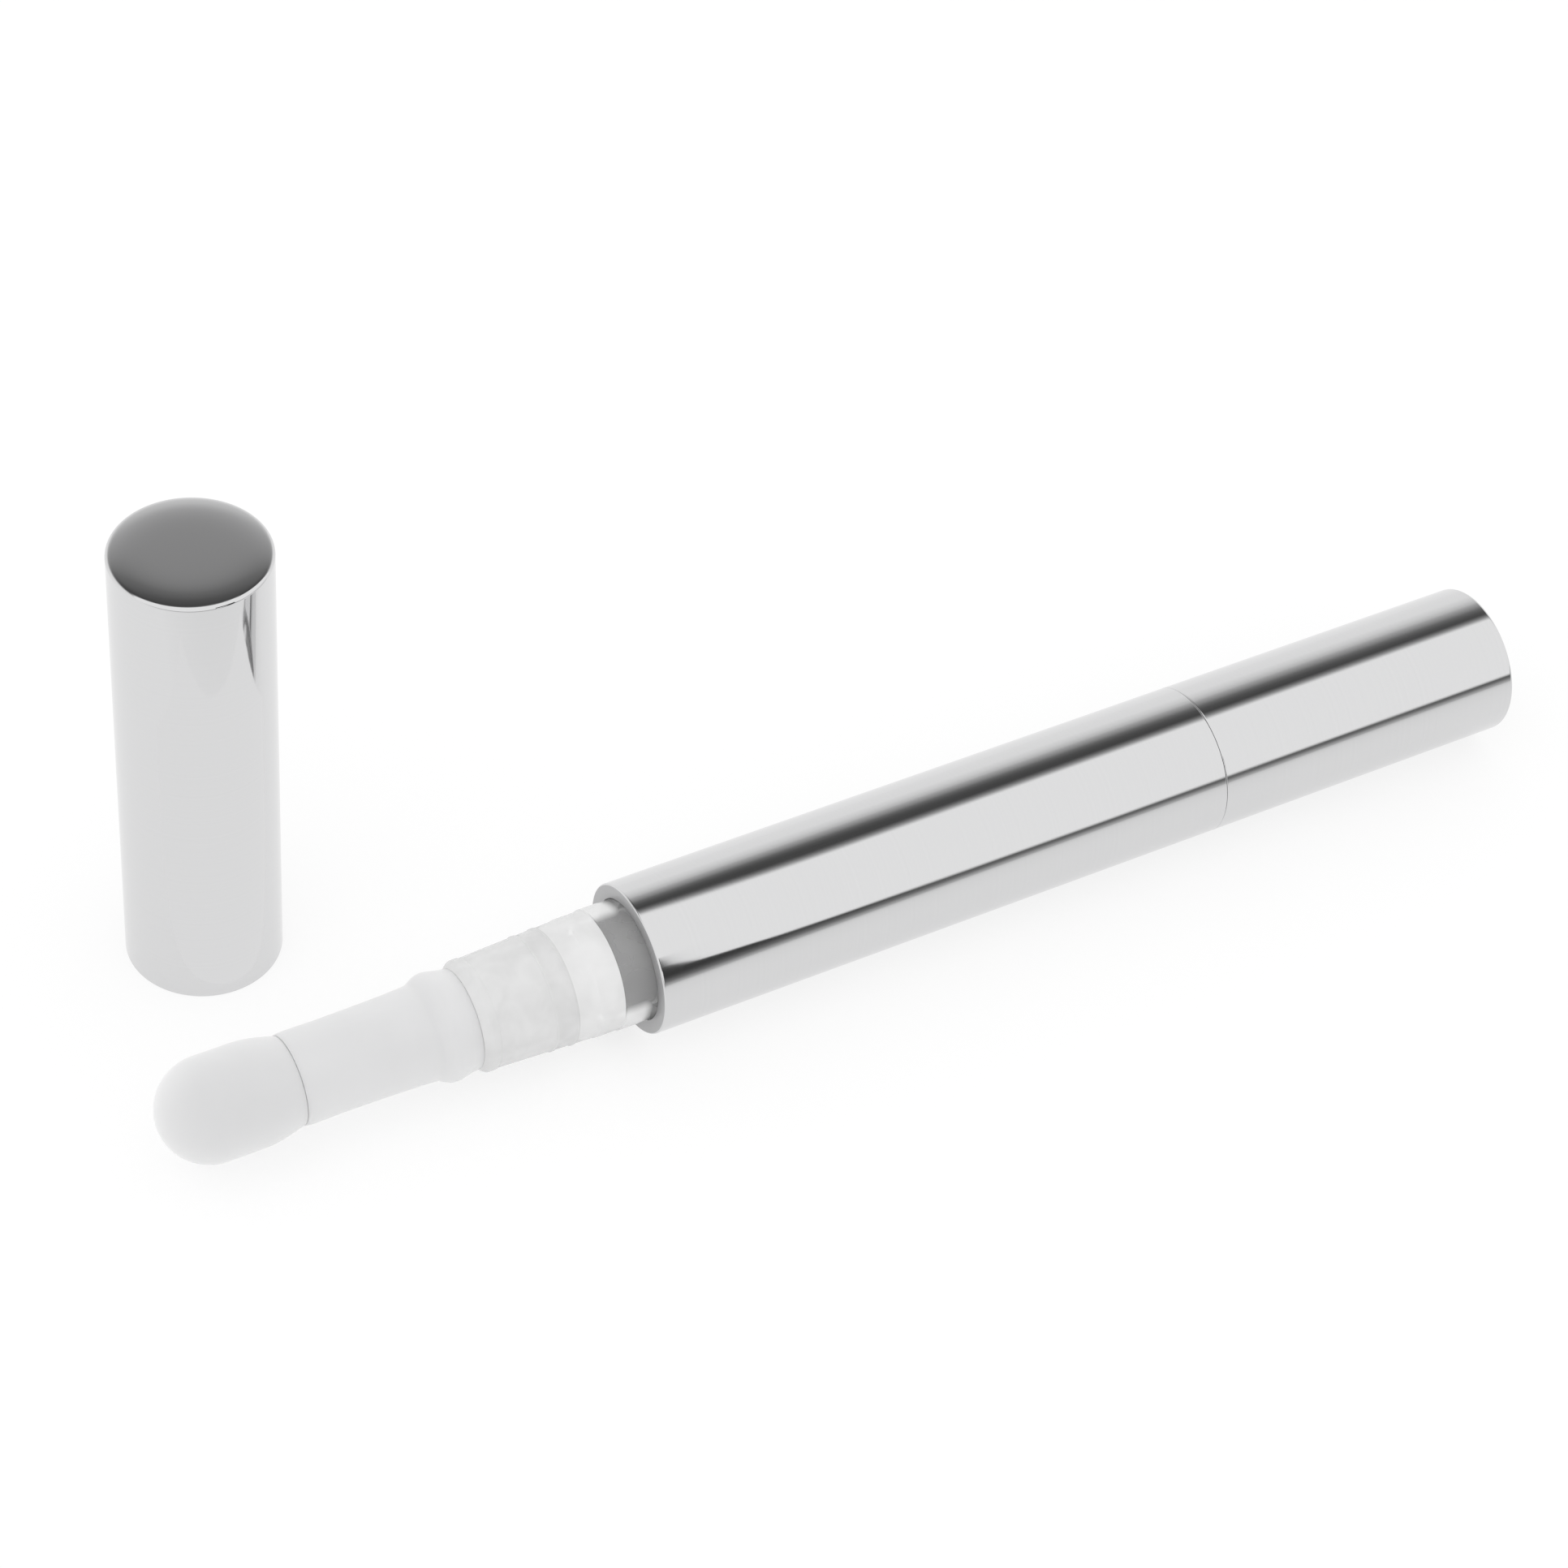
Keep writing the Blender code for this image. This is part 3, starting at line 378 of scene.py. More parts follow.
clear_neck = keep("clear_neck", neck_form, PEN_LINE, "barrel", "clear_plastic", "neck_housing")

# %% [markdown]
# ## A smooth outline through a few points
# The stem's bead and lip are soft moulded curves. A bevel makes only round corners, so the points
# measured along the stem are joined by a smooth curve that passes through each of them.
# mathutils has such curves between two ends; here each stretch takes its slopes from its neighbours.

# %% Ease a chain of points
def eased(points, steps):
    """A smooth chain of points that passes through the given ones."""
    chain = []
    for index in range(len(points) - 1):
        before = Vector(points[max(index - 1, 0)])
        start, end = Vector(points[index]), Vector(points[index + 1])
        after = Vector(points[min(index + 2, len(points) - 1)])
        for step in range(steps):
            t = step / steps
            chain.append(tuple(
                start * (1 + t * t * (2 * t - 3)) + end * (t * t * (3 - 2 * t))
                + (end - before) / 2 * (t * (1 - t) ** 2) + (after - start) / 2 * (t * t * (t - 1))
            ))
    chain.append(tuple(points[-1]))
    return chain


print("halfway up an eased hill:", eased([(0.0, 0.0), (1.0, 1.0), (2.0, 0.0)], 2)[1])

# %% [markdown]
# ## The frosted stem
# The stem is a translucent moulding: a plug in the neck, a snap bead that holds the cap, a long
# taper, a faint lip where the tip starts, and a spigot inside the tip.

# %% Stem
CURVE_STEPS = 4

bead_and_taper = eased([
    (4.6, -16.33),
    (4.64, -16.75),
    (4.7, -17.1),
    (4.8, -17.5),
    (4.93, -18.1),
    (4.97, -18.55),
    (4.86, -19.1),
    (4.58, -19.65),
    (4.37, -20.15),
    (4.3, -21.2),
    (4.22, -23.5),
    (4.17, -26.5),
    (4.15, -29.2),
    (4.18, -31.2),
    (4.15, -32.3),
    (4.07, -32.62),
], CURVE_STEPS)
stem_form = spun([(4.0, -7.6), (4.0, -16.32)] + bead_and_taper + [
    (2.2, -32.62),
    (2.2, -41.8),
    (1.1, -41.8),
    (1.1, -31.5),
    (2.9, -28.5),
    (2.9, -7.6),
])
soften(stem_form, [(4.0, -7.6)], 0.2, segments=3)
stem = keep("stem", stem_form, PEN_LINE, "barrel", "frosted_plastic", "applicator_stem")

# %% [markdown]
# ## The soft tip
# The tip is a pale, matte, rubbery dome that is pushed over the stem's spigot.
# A sphere could be cut in half, but then its heel would have to be joined on. One outline holds it all:
# a quarter circle for the dome, a short straight length, and a heel that draws in towards the stem.

# %% Dome tip
TIP_RADIUS = 4.73
TIP_FRONT = -44.7
HEEL_FRONT = -36.6
HEEL_REAR = -32.65
HEEL_RADIUS = 4.02
HOLLOW_RADIUS = 2.4
HOLLOW_FRONT = -42.1
ARC_STEPS = 16
HEEL_STEPS = 8

dome = []
for step in range(ARC_STEPS + 1):
    angle = math.pi / 2 * step / ARC_STEPS
    dome.append((TIP_RADIUS * math.sin(angle), TIP_FRONT + TIP_RADIUS * (1 - math.cos(angle))))
heel = []
for step in range(HEEL_STEPS + 1):
    share = step / HEEL_STEPS
    drop = (TIP_RADIUS - HEEL_RADIUS) * (1 - math.cos(math.pi / 2 * share))
    heel.append((TIP_RADIUS - drop, HEEL_FRONT + (HEEL_REAR - HEEL_FRONT) * share))
hollow = [(HOLLOW_RADIUS, HEEL_REAR), (HOLLOW_RADIUS, HOLLOW_FRONT), (0.0, HOLLOW_FRONT)]
tip_form = spun(dome + heel + hollow, closed=False)
soften(tip_form, [(HEEL_RADIUS, HEEL_REAR)], 0.04, segments=2)
dome_tip = keep("dome_tip", tip_form, PEN_LINE, "barrel", "soft_tip", "applicator_tip")

# %% [markdown]
# ## Shared effects
# Some surface effects belong to several finishes, so each is built once as a node group with named
# inputs and outputs. A group gives only values and normals; the shader stays in each material.
# The first is the fine round lines that a lathe or a polishing wheel leaves about a piece's axis.
# They vary only along the axis, so the noise reads one coordinate and is the same all the way round.

# %% Group helpers and the turned lines
def new_group(name, inputs, outputs):
    """An empty shader group with named sockets."""
    group = bpy.data.node_groups.new(name, "ShaderNodeTree")
    for title, kind, value in inputs:
        socket = group.interface.new_socket(title, in_out="INPUT", socket_type=kind)
        if value is not None:
            socket.default_value = value
    for title, kind in outputs:
        group.interface.new_socket(title, in_out="OUTPUT", socket_type=kind)
    return group, group.nodes.new("NodeGroupInput"), group.nodes.new("NodeGroupOutput")


def add(tree, kind, **settings):
    """Add a node. Settings that name a socket set its value, others set the node's own fields.

    A socket's name is written with _ for each space.
    """
    node = tree.nodes.new(kind)
    for key, value in settings.items():
        socket = key.replace("_", " ")
        if socket in node.inputs:
            node.inputs[socket].default_value = value
        else:
            setattr(node, key, value)
    return node


def join(tree, pairs):
    """Link pairs of sockets."""
    for start, end in pairs:
        tree.links.new(start, end)


VALUE = "NodeSocketFloat"
VECTOR = "NodeSocketVector"

lines_group, taken, given = new_group(
    "turned lines",
    [("Along the axis", VECTOR, None), ("Lines per metre", VALUE, 3000.0)],
    [("Lines", VALUE)],
)
split = add(lines_group, "ShaderNodeSeparateXYZ")
stretch = add(lines_group, "ShaderNodeMath", operation="MULTIPLY")
fine = add(
    lines_group, "ShaderNodeTexNoise", noise_dimensions="1D", Scale=1.0, Detail=3.0, Roughness=0.6,
)
join(lines_group, [
    (taken.outputs["Along the axis"], split.inputs[0]),
    (split.outputs["X"], stretch.inputs[0]),
    (taken.outputs["Lines per metre"], stretch.inputs[1]),
    (stretch.outputs[0], fine.inputs["W"]),
    (fine.outputs["Fac"], given.inputs["Lines"]),
])
print(lines_group.name, "is built")

# %% [markdown]
# The second group is handling haze: the faint cloudy film and small specks that fingers and dust
# leave on any polished piece. It lifts the roughness a little in patches.

# %% The handling haze
haze_group, taken, given = new_group(
    "handling haze",
    [("Place", VECTOR, None), ("Patch scale", VALUE, 90.0)],
    [("Haze", VALUE), ("Specks", VALUE)],
)
cloud = add(haze_group, "ShaderNodeTexNoise", Detail=4.0, Roughness=0.55)
soft = add(haze_group, "ShaderNodeMapRange", clamp=True, From_Min=0.42, From_Max=0.72)
dots = add(haze_group, "ShaderNodeTexVoronoi", feature="F1", Scale=1400.0, Randomness=1.0)
small = add(haze_group, "ShaderNodeMapRange", clamp=True, From_Min=0.09, From_Max=0.02)
join(haze_group, [
    (taken.outputs["Place"], cloud.inputs["Vector"]),
    (taken.outputs["Patch scale"], cloud.inputs["Scale"]),
    (cloud.outputs["Fac"], soft.inputs["Value"]),
    (soft.outputs["Result"], given.inputs["Haze"]),
    (taken.outputs["Place"], dots.inputs["Vector"]),
    (dots.outputs["Distance"], small.inputs["Value"]),
    (small.outputs["Result"], given.inputs["Specks"]),
])
print(haze_group.name, "is built")

# %% [markdown]
# The third group is the skin of a moulding: a fine even grain from the mould's surface over a slow
# unevenness from shrinkage. It gives a height for a bump and a slow mask for the colour.

# %% The moulded skin
skin_group, taken, given = new_group(
    "moulded skin",
    [("Place", VECTOR, None), ("Grain per metre", VALUE, 5000.0), ("Flow per metre", VALUE, 160.0)],
    [("Height", VALUE), ("Flow", VALUE)],
)
grain = add(skin_group, "ShaderNodeTexNoise", Detail=2.0, Roughness=0.5)
flow = add(skin_group, "ShaderNodeTexNoise", Detail=2.0, Roughness=0.5, Distortion=0.4)
both = add(skin_group, "ShaderNodeMath", operation="MULTIPLY_ADD")
both.inputs[1].default_value = 1.5
join(skin_group, [
    (taken.outputs["Place"], grain.inputs["Vector"]),
    (taken.outputs["Grain per metre"], grain.inputs["Scale"]),
    (taken.outputs["Place"], flow.inputs["Vector"]),
    (taken.outputs["Flow per metre"], flow.inputs["Scale"]),
    (flow.outputs["Fac"], both.inputs[0]),
    (grain.outputs["Fac"], both.inputs[2]),
    (both.outputs[0], given.inputs["Height"]),
    (flow.outputs["Fac"], given.inputs["Flow"]),
])
print(skin_group.name, "is built")

# %% [markdown]
# ## Finishing a material
# Every material starts the same way: a Principled shader, and Object coordinates that a Mapping node
# brings onto the piece's own axis, so that the axis is X for the pen and for the cap alike.
# Four small functions do what nearly every finish needs: place a group, stretch a mask, colour a
# surface between two tones, and give it a bump.

# %% Start a material
def start_finish(name, line, roughness, metallic=0.0):
    """A material with coordinates along the piece's axis, and its tree, shader and place."""
    material = bpy.data.materials.new(name)
    material.use_nodes = True
    tree = material.node_tree
    shader = tree.nodes["Principled BSDF"]
    shader.inputs["Roughness"].default_value = roughness
    shader.inputs["Metallic"].default_value = metallic
    onto_axis = Matrix.Rotation(math.pi / 2, 4, "Y") @ line.inverted()
    place = add(
        tree, "ShaderNodeMapping", vector_type="POINT",
        Location=onto_axis.to_translation(), Rotation=onto_axis.to_euler(),
    )
    source = add(tree, "ShaderNodeTexCoord")
    tree.links.new(source.outputs["Object"], place.inputs["Vector"])
    return material, tree, shader, place.outputs["Vector"]


def put_group(tree, group, **values):
    """Place a group in a material."""
    return add(tree, "ShaderNodeGroup", node_tree=group, **values)


def ranged(tree, source, low, high):
    """Stretch a mask from 0 and 1 to two other values."""
    node = add(tree, "ShaderNodeMapRange", clamp=True, To_Min=low, To_Max=high)
    tree.links.new(source, node.inputs["Value"])
    return node.outputs["Result"]


def tinted(tree, shader, mask, dark, light):
    """Colour a surface between two tones by a mask."""
    mix = add(tree, "ShaderNodeMix", data_type="RGBA", A=(*dark, 1.0), B=(*light, 1.0))
    join(tree, [(mask, mix.inputs["Factor"]), (mix.outputs["Result"], shader.inputs["Base Color"])])


def bumped(tree, shader, height, strength, depth):
    """Give the shader a bump of a depth in metres."""
    bump = add(tree, "ShaderNodeBump", Strength=strength, Distance=depth)
    join(tree, [(height, bump.inputs["Height"]), (bump.outputs["Normal"], shader.inputs["Normal"])])


print("shared groups:", [group.name for group in (lines_group, haze_group, skin_group)])

# %% [markdown]
# ## Polished metal
# The shells are buffed to a bright mirror, a little darker than bare aluminium because of their
# clear anodised skin. What makes such metal look real is mostly what it reflects. On top of that
# come buffing lines too fine to see one by one, a trace of haze, and a few specks of dust.

# %% Polished metal on barrel, knob and cap
def polished_metal(name, line):
    """Mirror-bright drawn metal with buffing lines about its axis."""
    material, tree, shader, place = start_finish(name, line, 0.06, 1.0)
    lines = put_group(tree, lines_group, Lines_per_metre=3600.0)
    haze = put_group(tree, haze_group, Patch_scale=110.0)
    join(tree, [(place, lines.inputs["Along the axis"]), (place, haze.inputs["Place"])])
    tinted(tree, shader, lines.outputs["Lines"], (0.716, 0.716, 0.721), (0.736, 0.736, 0.741))
    base = ranged(tree, haze.outputs["Haze"], 0.045, 0.075)
    specks = add(tree, "ShaderNodeMath", operation="MULTIPLY_ADD")
    specks.inputs[1].default_value = 0.06
    join(tree, [
        (haze.outputs["Specks"], specks.inputs[0]),
        (base, specks.inputs[2]),
        (specks.outputs[0], shader.inputs["Roughness"]),
    ])
    bumped(tree, shader, lines.outputs["Lines"], 0.12, 0.000001)
    return material


polished_pen = polished_metal("polished metal, pen", PEN_LINE)
polished_cap = polished_metal("polished metal, cap", CAP_LINE)
barrel_case.data.materials.append(polished_pen)
knob_case.data.materials.append(polished_pen)
cap_case.data.materials.append(polished_cap)
print(polished_pen.name, "and", polished_cap.name, "are on")

# %% [markdown]
# ## Satin metal
# The collar band and the barrel's folded lip aren't buffed. Both have turning lines and a soft grey
# shine that breaks up reflections; the band is darker, since it only shows through plastic.
# The lip is part of the barrel's mesh, so its faces get a second material instead of a piece of
# their own. Its fine scratches scatter light as a dull surface does, so it is metallic in part only.

# %% Satin metal on the band and the lip
def satin_metal(name, dark, light, metallic=1.0):
    """Dull metal with fine turning lines about the pen's axis."""
    material, tree, shader, place = start_finish(name, PEN_LINE, 0.42, metallic)
    lines = put_group(tree, lines_group, Lines_per_metre=9000.0)
    tree.links.new(place, lines.inputs["Along the axis"])
    tinted(tree, shader, lines.outputs["Lines"], dark, light)
    tree.links.new(ranged(tree, lines.outputs["Lines"], 0.38, 0.5), shader.inputs["Roughness"])
    bumped(tree, shader, lines.outputs["Lines"], 0.3, 0.000006)
    return material


LIP_FACING = -0.95
LIP_DEPTH = 0.1

satin_band = satin_metal("satin metal, band", (0.03, 0.03, 0.031), (0.06, 0.06, 0.061))
satin_lip = satin_metal("satin metal, lip", (0.45, 0.45, 0.455), (0.55, 0.55, 0.555), metallic=0.6)
collar.data.materials.append(satin_band)
barrel_case.data.materials.append(satin_lip)
lip_faces = [
    face for face in barrel_case.data.polygons
    if face.normal.x < LIP_FACING and face.center.x < mouth.x + LIP_DEPTH * MM
]
for face in lip_faces:
    face.material_index = 1
print("lip faces:", len(lip_faces))

# %% [markdown]
# ## Mouldings
# Six finishes are mouldings that differ in colour, shine and grain, so one function makes them all.
# Light goes a little way into white and frosted plastic and comes out again, which softens its
# shading. That is subsurface scattering, with a radius of about a millimetre. The stem and the tip
# also get a painted rim light: their base colour turns paler towards their outline, as if light shone
# through there.

# %% A moulded finish
def painted_rim_light(tree, shader, tone, blend):
    """Paint a rim light: mix the base colour towards a paler tone at the outline, as if light shone
    through a thin edge.
    """
    # Painted rim light: Layer Weight's Facing lightens the base colour towards the outline.
    base = shader.inputs["Base Color"].links[0].from_socket
    edge = add(tree, "ShaderNodeLayerWeight", Blend=blend)
    mix = add(tree, "ShaderNodeMix", data_type="RGBA", B=(tone, tone, tone, 1.0))
    join(tree, [
        (edge.outputs["Facing"], mix.inputs["Factor"]),
        (base, mix.inputs["A"]),
        (mix.outputs["Result"], shader.inputs["Base Color"]),
    ])


def moulded(
    name, line, dark, light, roughness, depth,
    scatter=0.0, grain_scale=5000.0, sheen=0.0, edge=None,
):
    """A moulded plastic or rubber with a fine skin. An edge is the tone and blend of its painted rim
    light.
    """
    material, tree, shader, place = start_finish(name, line, roughness)
    skin = put_group(tree, skin_group, Grain_per_metre=grain_scale)
    tree.links.new(place, skin.inputs["Place"])
    tinted(tree, shader, skin.outputs["Flow"], dark, light)
    uneven = ranged(tree, skin.outputs["Flow"], roughness - 0.06, roughness + 0.06)
    tree.links.new(uneven, shader.inputs["Roughness"])
    bumped(tree, shader, skin.outputs["Height"], 0.35, depth)
    shader.inputs["Subsurface Weight"].default_value = scatter
    shader.inputs["Subsurface Radius"].default_value = (1.0, 1.0, 1.0)
    shader.inputs["Subsurface Scale"].default_value = 0.0012
    shader.inputs["Sheen Weight"].default_value = sheen
    # An edge paints a paler rim, a painted rim light, into the base colour.
    if edge:
        painted_rim_light(tree, shader, *edge)
    print(name, "is ready")
    return material


# %% [markdown]
# The stem is frosted, the tip is soft rubber with a trace of sheen, and the liner is natural white.
# White parts come twice, because the cap's noise follows the cap's own axis.

# %% The mouldings' finishes
WHITE = ((0.8, 0.8, 0.8), (0.86, 0.86, 0.86))

# The stem and the tip get a painted rim light from their edge tones.
frosted = moulded(
    "frosted plastic", PEN_LINE, (0.68, 0.68, 0.685), (0.74, 0.74, 0.745),
    roughness=0.42, depth=0.000012, scatter=0.5, edge=(0.97, 0.22),
)
soft_rubber = moulded(
    "soft tip", PEN_LINE, (0.645, 0.645, 0.65), (0.685, 0.685, 0.69),
    roughness=0.62, depth=0.00002, scatter=0.35, grain_scale=7000.0, sheen=0.15, edge=(0.98, 0.28),
)
white_cap = moulded("white moulding, cap", CAP_LINE, *WHITE, roughness=0.42, depth=0.00001, scatter=0.3)
white_pen = moulded("white moulding, pen", PEN_LINE, *WHITE, roughness=0.42, depth=0.00001, scatter=0.3)
grey_pen = moulded(
    "grey moulding", PEN_LINE, (0.62, 0.62, 0.63), (0.69, 0.69, 0.7),
    roughness=0.48, depth=0.00001, scatter=0.1,
)
seal_rubber = moulded(
    "seal rubber", PEN_LINE, (0.24, 0.24, 0.24), (0.3, 0.3, 0.3), roughness=0.55, depth=0.00001,
)
stem.data.materials.append(frosted)
dome_tip.data.materials.append(soft_rubber)
cap_inside.data.materials.append(white_cap)

# %% [markdown]
# ## Clear and hazy plastic
# The neck is milky, so what is behind its wall shows only faintly, but its root is nearly clear.
# Transmission would bend light through the walls and turn them dark where they see the barrel;
# a low Alpha lets it pass straight, as a thin milky wall seems to do. The milk is not even: it follows
# the slow flow of the melt. One function makes four such walls, from milky in front to nearly clear.

# %% Clear plastic on the neck and its root
def see_through(name, tones, hidden, roughness):
    """A shiny plastic wall that hides between two shares of what is behind it."""
    material, tree, shader, place = start_finish(name, PEN_LINE, roughness)
    skin = put_group(tree, skin_group, Grain_per_metre=2500.0, Flow_per_metre=380.0)
    tree.links.new(place, skin.inputs["Place"])
    tinted(tree, shader, skin.outputs["Flow"], [tones[0]] * 3, [tones[1]] * 3)
    tree.links.new(ranged(tree, skin.outputs["Flow"], *hidden), shader.inputs["Alpha"])
    bumped(tree, shader, skin.outputs["Height"], 0.3, 0.00001)
    shader.inputs["IOR"].default_value = 1.49
    return material, tree, shader, place


milky_front = see_through("milky plastic, front of neck", (0.85, 0.92), (0.66, 0.8), 0.2)[0]
milky_rear = see_through("milky plastic, rear of neck", (0.87, 0.93), (0.8, 0.9), 0.2)[0]
clear_seat = see_through("clear plastic, seat of the band", (0.88, 0.95), (0.1, 0.14), 0.14)[0]
clear_root, tree, shader, place = see_through("clear plastic, root", (0.88, 0.95), (0.25, 0.3), 0.14)
print(milky_front.name, "to", clear_root.name)

# %% [markdown]
# Towards the root's outline the way through its wall is longer, so there it hides nearly all behind
# it. Layer Weight knows how slanted the wall is seen. Right at the barrel's lip this fades out again.
# Only the outer face does this, because two such faces, one behind the other, would show as fingers.

# %% More milk at the root's outline
LIP_FADE = (0.2, -1.4)

slant = add(tree, "ShaderNodeLayerWeight", Blend=0.5)
longer_way = add(
    tree, "ShaderNodeMapRange", interpolation_type="SMOOTHSTEP",
    From_Min=0.22, From_Max=0.5, To_Max=0.88,
)
station = add(tree, "ShaderNodeSeparateXYZ")
ahead_of_lip = add(
    tree, "ShaderNodeMapRange", interpolation_type="SMOOTHSTEP",
    From_Min=LIP_FADE[0] * MM, From_Max=LIP_FADE[1] * MM,
)
faded = add(tree, "ShaderNodeMath", operation="MULTIPLY")
more = add(tree, "ShaderNodeMath", operation="MAXIMUM")
join(tree, [
    (slant.outputs["Facing"], longer_way.inputs["Value"]),
    (place, station.inputs[0]),
    (station.outputs["X"], ahead_of_lip.inputs["Value"]),
    (longer_way.outputs["Result"], faded.inputs[0]),
    (ahead_of_lip.outputs["Result"], faded.inputs[1]),
    (shader.inputs["Alpha"].links[0].from_socket, more.inputs[0]),
    (faded.outputs[0], more.inputs[1]),
    (more.outputs[0], shader.inputs["Alpha"]),
])
print(clear_root.name, "fades", LIP_FADE, "mm from the mouth")

# %% [markdown]
# Now each of the four walls gets its faces of the neck. A zone is a stretch of the pen's axis and a
# least radius, so that the root's outer face can differ from the seat of the band inside it.

# %% Which faces get which plastic
FRONT_STARTS = -20.0
REAR_STARTS = -7.48
ROOT_STARTS = ROOT_FRONT - 0.05
ROOT_ENDS = 0.6
OUTER_FACE = 5.0
ZONES = (
    (FRONT_STARTS, REAR_STARTS, 0.0, milky_front),
    (REAR_STARTS, ROOT_STARTS, 0.0, milky_rear),
    (ROOT_STARTS, ROOT_ENDS, 0.0, clear_seat),
    (ROOT_STARTS, ROOT_ENDS, OUTER_FACE, clear_root),
)
for index, (start, end, radius, material) in enumerate(ZONES):
    clear_neck.data.materials.append(material)
    faces = [
        face for face in clear_neck.data.polygons
        if start * MM < face.center.x - mouth.x < end * MM
        and (face.center - mouth).yz.length > radius * MM
    ]
    for face in faces:
        face.material_index = index
    print(material.name, "on", len(faces), "faces")

# %% [markdown]
# ## The mechanism inside
# Behind the metal are the reservoir, the piston, the screw rod and the click parts. Their CAD solids
# have the right shapes already, so they stay as they are and only get their finish.

# %% Finishes for the pieces inside
inside = {
    "reservoir_tube": frosted,
    "piston": white_pen,
    "screw_rod": white_pen,
    "pawl_ring": white_pen,
    "drive_sleeve": white_pen,
    "knob_core": white_pen,
    "guide_nut": grey_pen,
    "ratchet_ring": grey_pen,
    "rear_bush": grey_pen,
    "neck_seal": seal_rubber,
    "piston_seal": seal_rubber,
    "drag_ring": seal_rubber,
}
for name, material in inside.items():
    for slot in nodes[name].material_slots:
        slot.material = material
print("finished inside:", len(inside))

# %% [markdown]
# ## Helpers for the stage
# A floor, a card and a flag help the picture but are no part of the pen. Each is a plain mesh, and
# its material is built from nothing, as the world is. A tone that changes from place to place is a
# ColorRamp with a Map Range before it, which brings real sizes or angles to the ramp's 0 to 1.

# %% Stage pieces, empty node trees and ramps
def stage_piece(title, form):
    """Make an object of a bmesh."""
    mesh = bpy.data.meshes.new(title)
    form.to_mesh(mesh)
    form.free()
    piece = bpy.data.objects.new(title.replace(" ", "_"), mesh)
    bpy.context.scene.collection.objects.link(piece)
    return piece


def reflected_only(piece):
    """Hide a piece from every ray but the glossy ones."""
    for ray in ("camera", "diffuse", "transmission", "shadow", "volume_scatter"):
        setattr(piece, "visible_" + ray, False)


def emptied(owner):
    """Clear the nodes of a material or a world, and return the tree."""
    owner.use_nodes = True
    owner.node_tree.nodes.clear()
    return owner.node_tree


def grey(tone):
    """A neutral colour."""
    return (tone, tone, tone, 1.0)


def ramp(tree, source, stops):
    """A tone that follows a value through some stops, each a value and its tone."""
    low, high = stops[0][0], stops[-1][0]
    share = add(tree, "ShaderNodeMapRange", clamp=True, From_Min=low, From_Max=high)
    node = add(tree, "ShaderNodeValToRGB")
    node.color_ramp.elements.remove(node.color_ramp.elements[-1])
    for index, (value, tone) in enumerate(stops):
        position = (value - low) / (high - low)
        stop = node.color_ramp.elements[0] if index == 0 else node.color_ramp.elements.new(position)
        stop.position = position
        stop.color = grey(tone)
    join(tree, [(source, share.inputs["Value"]), (share.outputs["Result"], node.inputs["Fac"])])
    return node.outputs["Color"]


print("white is", grey(1.0))

# %% [markdown]
# ## The floor
# The photograph stands on pure white. A white plane lit to pure white would need too much light,
# so to the camera, and through clear plastic, the floor adds a little glow of its own to its diffuse
# white. The glow lifts it to white where nothing shades it, and the soft contact shadow still shows.
# In reflections it is a shade darker, and darker still towards the table's front edge, which is what
# the lower side of the real barrel shows. For the light that bounces off it, it is a plain pale surface.

# %% Floor with a soft shadow
FLOOR_HALF = 1.5
FLOOR_WHITE = 0.26
FLOOR_GLOW = 0.75
FLOOR_PLAIN = 0.92
FRONT_EDGE = -131.0
FLOOR_TONES = (
    (FRONT_EDGE, 0.5), (-112.0, 0.63), (-93.0, 0.76), (-65.0, 0.85), (-45.0, 0.88), (-15.0, 0.94),
)

floor_form = bmesh.new()
bmesh.ops.create_grid(floor_form, x_segments=1, y_segments=1, size=FLOOR_HALF)
floor = stage_piece("floor", floor_form)

floor_material = bpy.data.materials.new("pale floor")
floor.data.materials.append(floor_material)
tree = emptied(floor_material)
output = add(tree, "ShaderNodeOutputMaterial")
path = add(tree, "ShaderNodeLightPath")
source = add(tree, "ShaderNodeTexCoord")
split = add(tree, "ShaderNodeSeparateXYZ")
tree.links.new(source.outputs["Object"], split.inputs[0])
edge_tone = ramp(tree, split.outputs["Y"], [(place * MM, tone) for place, tone in FLOOR_TONES])
tone = add(tree, "ShaderNodeMix", data_type="RGBA", A=grey(1.0))
dimmed = add(tree, "ShaderNodeVectorMath", operation="SCALE", Scale=FLOOR_WHITE)
seen = add(tree, "ShaderNodeMath", operation="MAXIMUM")
seen_glass = add(tree, "ShaderNodeMath", operation="MAXIMUM")
plain = add(tree, "ShaderNodeBsdfDiffuse", Color=grey(FLOOR_PLAIN))
shown = add(tree, "ShaderNodeBsdfDiffuse")
glow = add(tree, "ShaderNodeEmission", Strength=FLOOR_GLOW)
both = add(tree, "ShaderNodeAddShader")
choice = add(tree, "ShaderNodeMixShader")
join(tree, [
    (path.outputs["Is Glossy Ray"], tone.inputs["Factor"]),
    (edge_tone, tone.inputs["B"]),
    (tone.outputs["Result"], dimmed.inputs[0]),
    (dimmed.outputs["Vector"], shown.inputs["Color"]),
    (tone.outputs["Result"], glow.inputs["Color"]),
    (path.outputs["Is Camera Ray"], seen.inputs[0]),
    (path.outputs["Is Glossy Ray"], seen.inputs[1]),
    (seen.outputs[0], seen_glass.inputs[0]),
    (path.outputs["Is Transmission Ray"], seen_glass.inputs[1]),
    (shown.outputs[0], both.inputs[0]),
    (glow.outputs[0], both.inputs[1]),
    (seen_glass.outputs[0], choice.inputs[0]),
    (plain.outputs[0], choice.inputs[1]),
    (both.outputs[0], choice.inputs[2]),
    (choice.outputs[0], output.inputs["Surface"]),
])
print("floor is", 2 * FLOOR_HALF, "m wide")

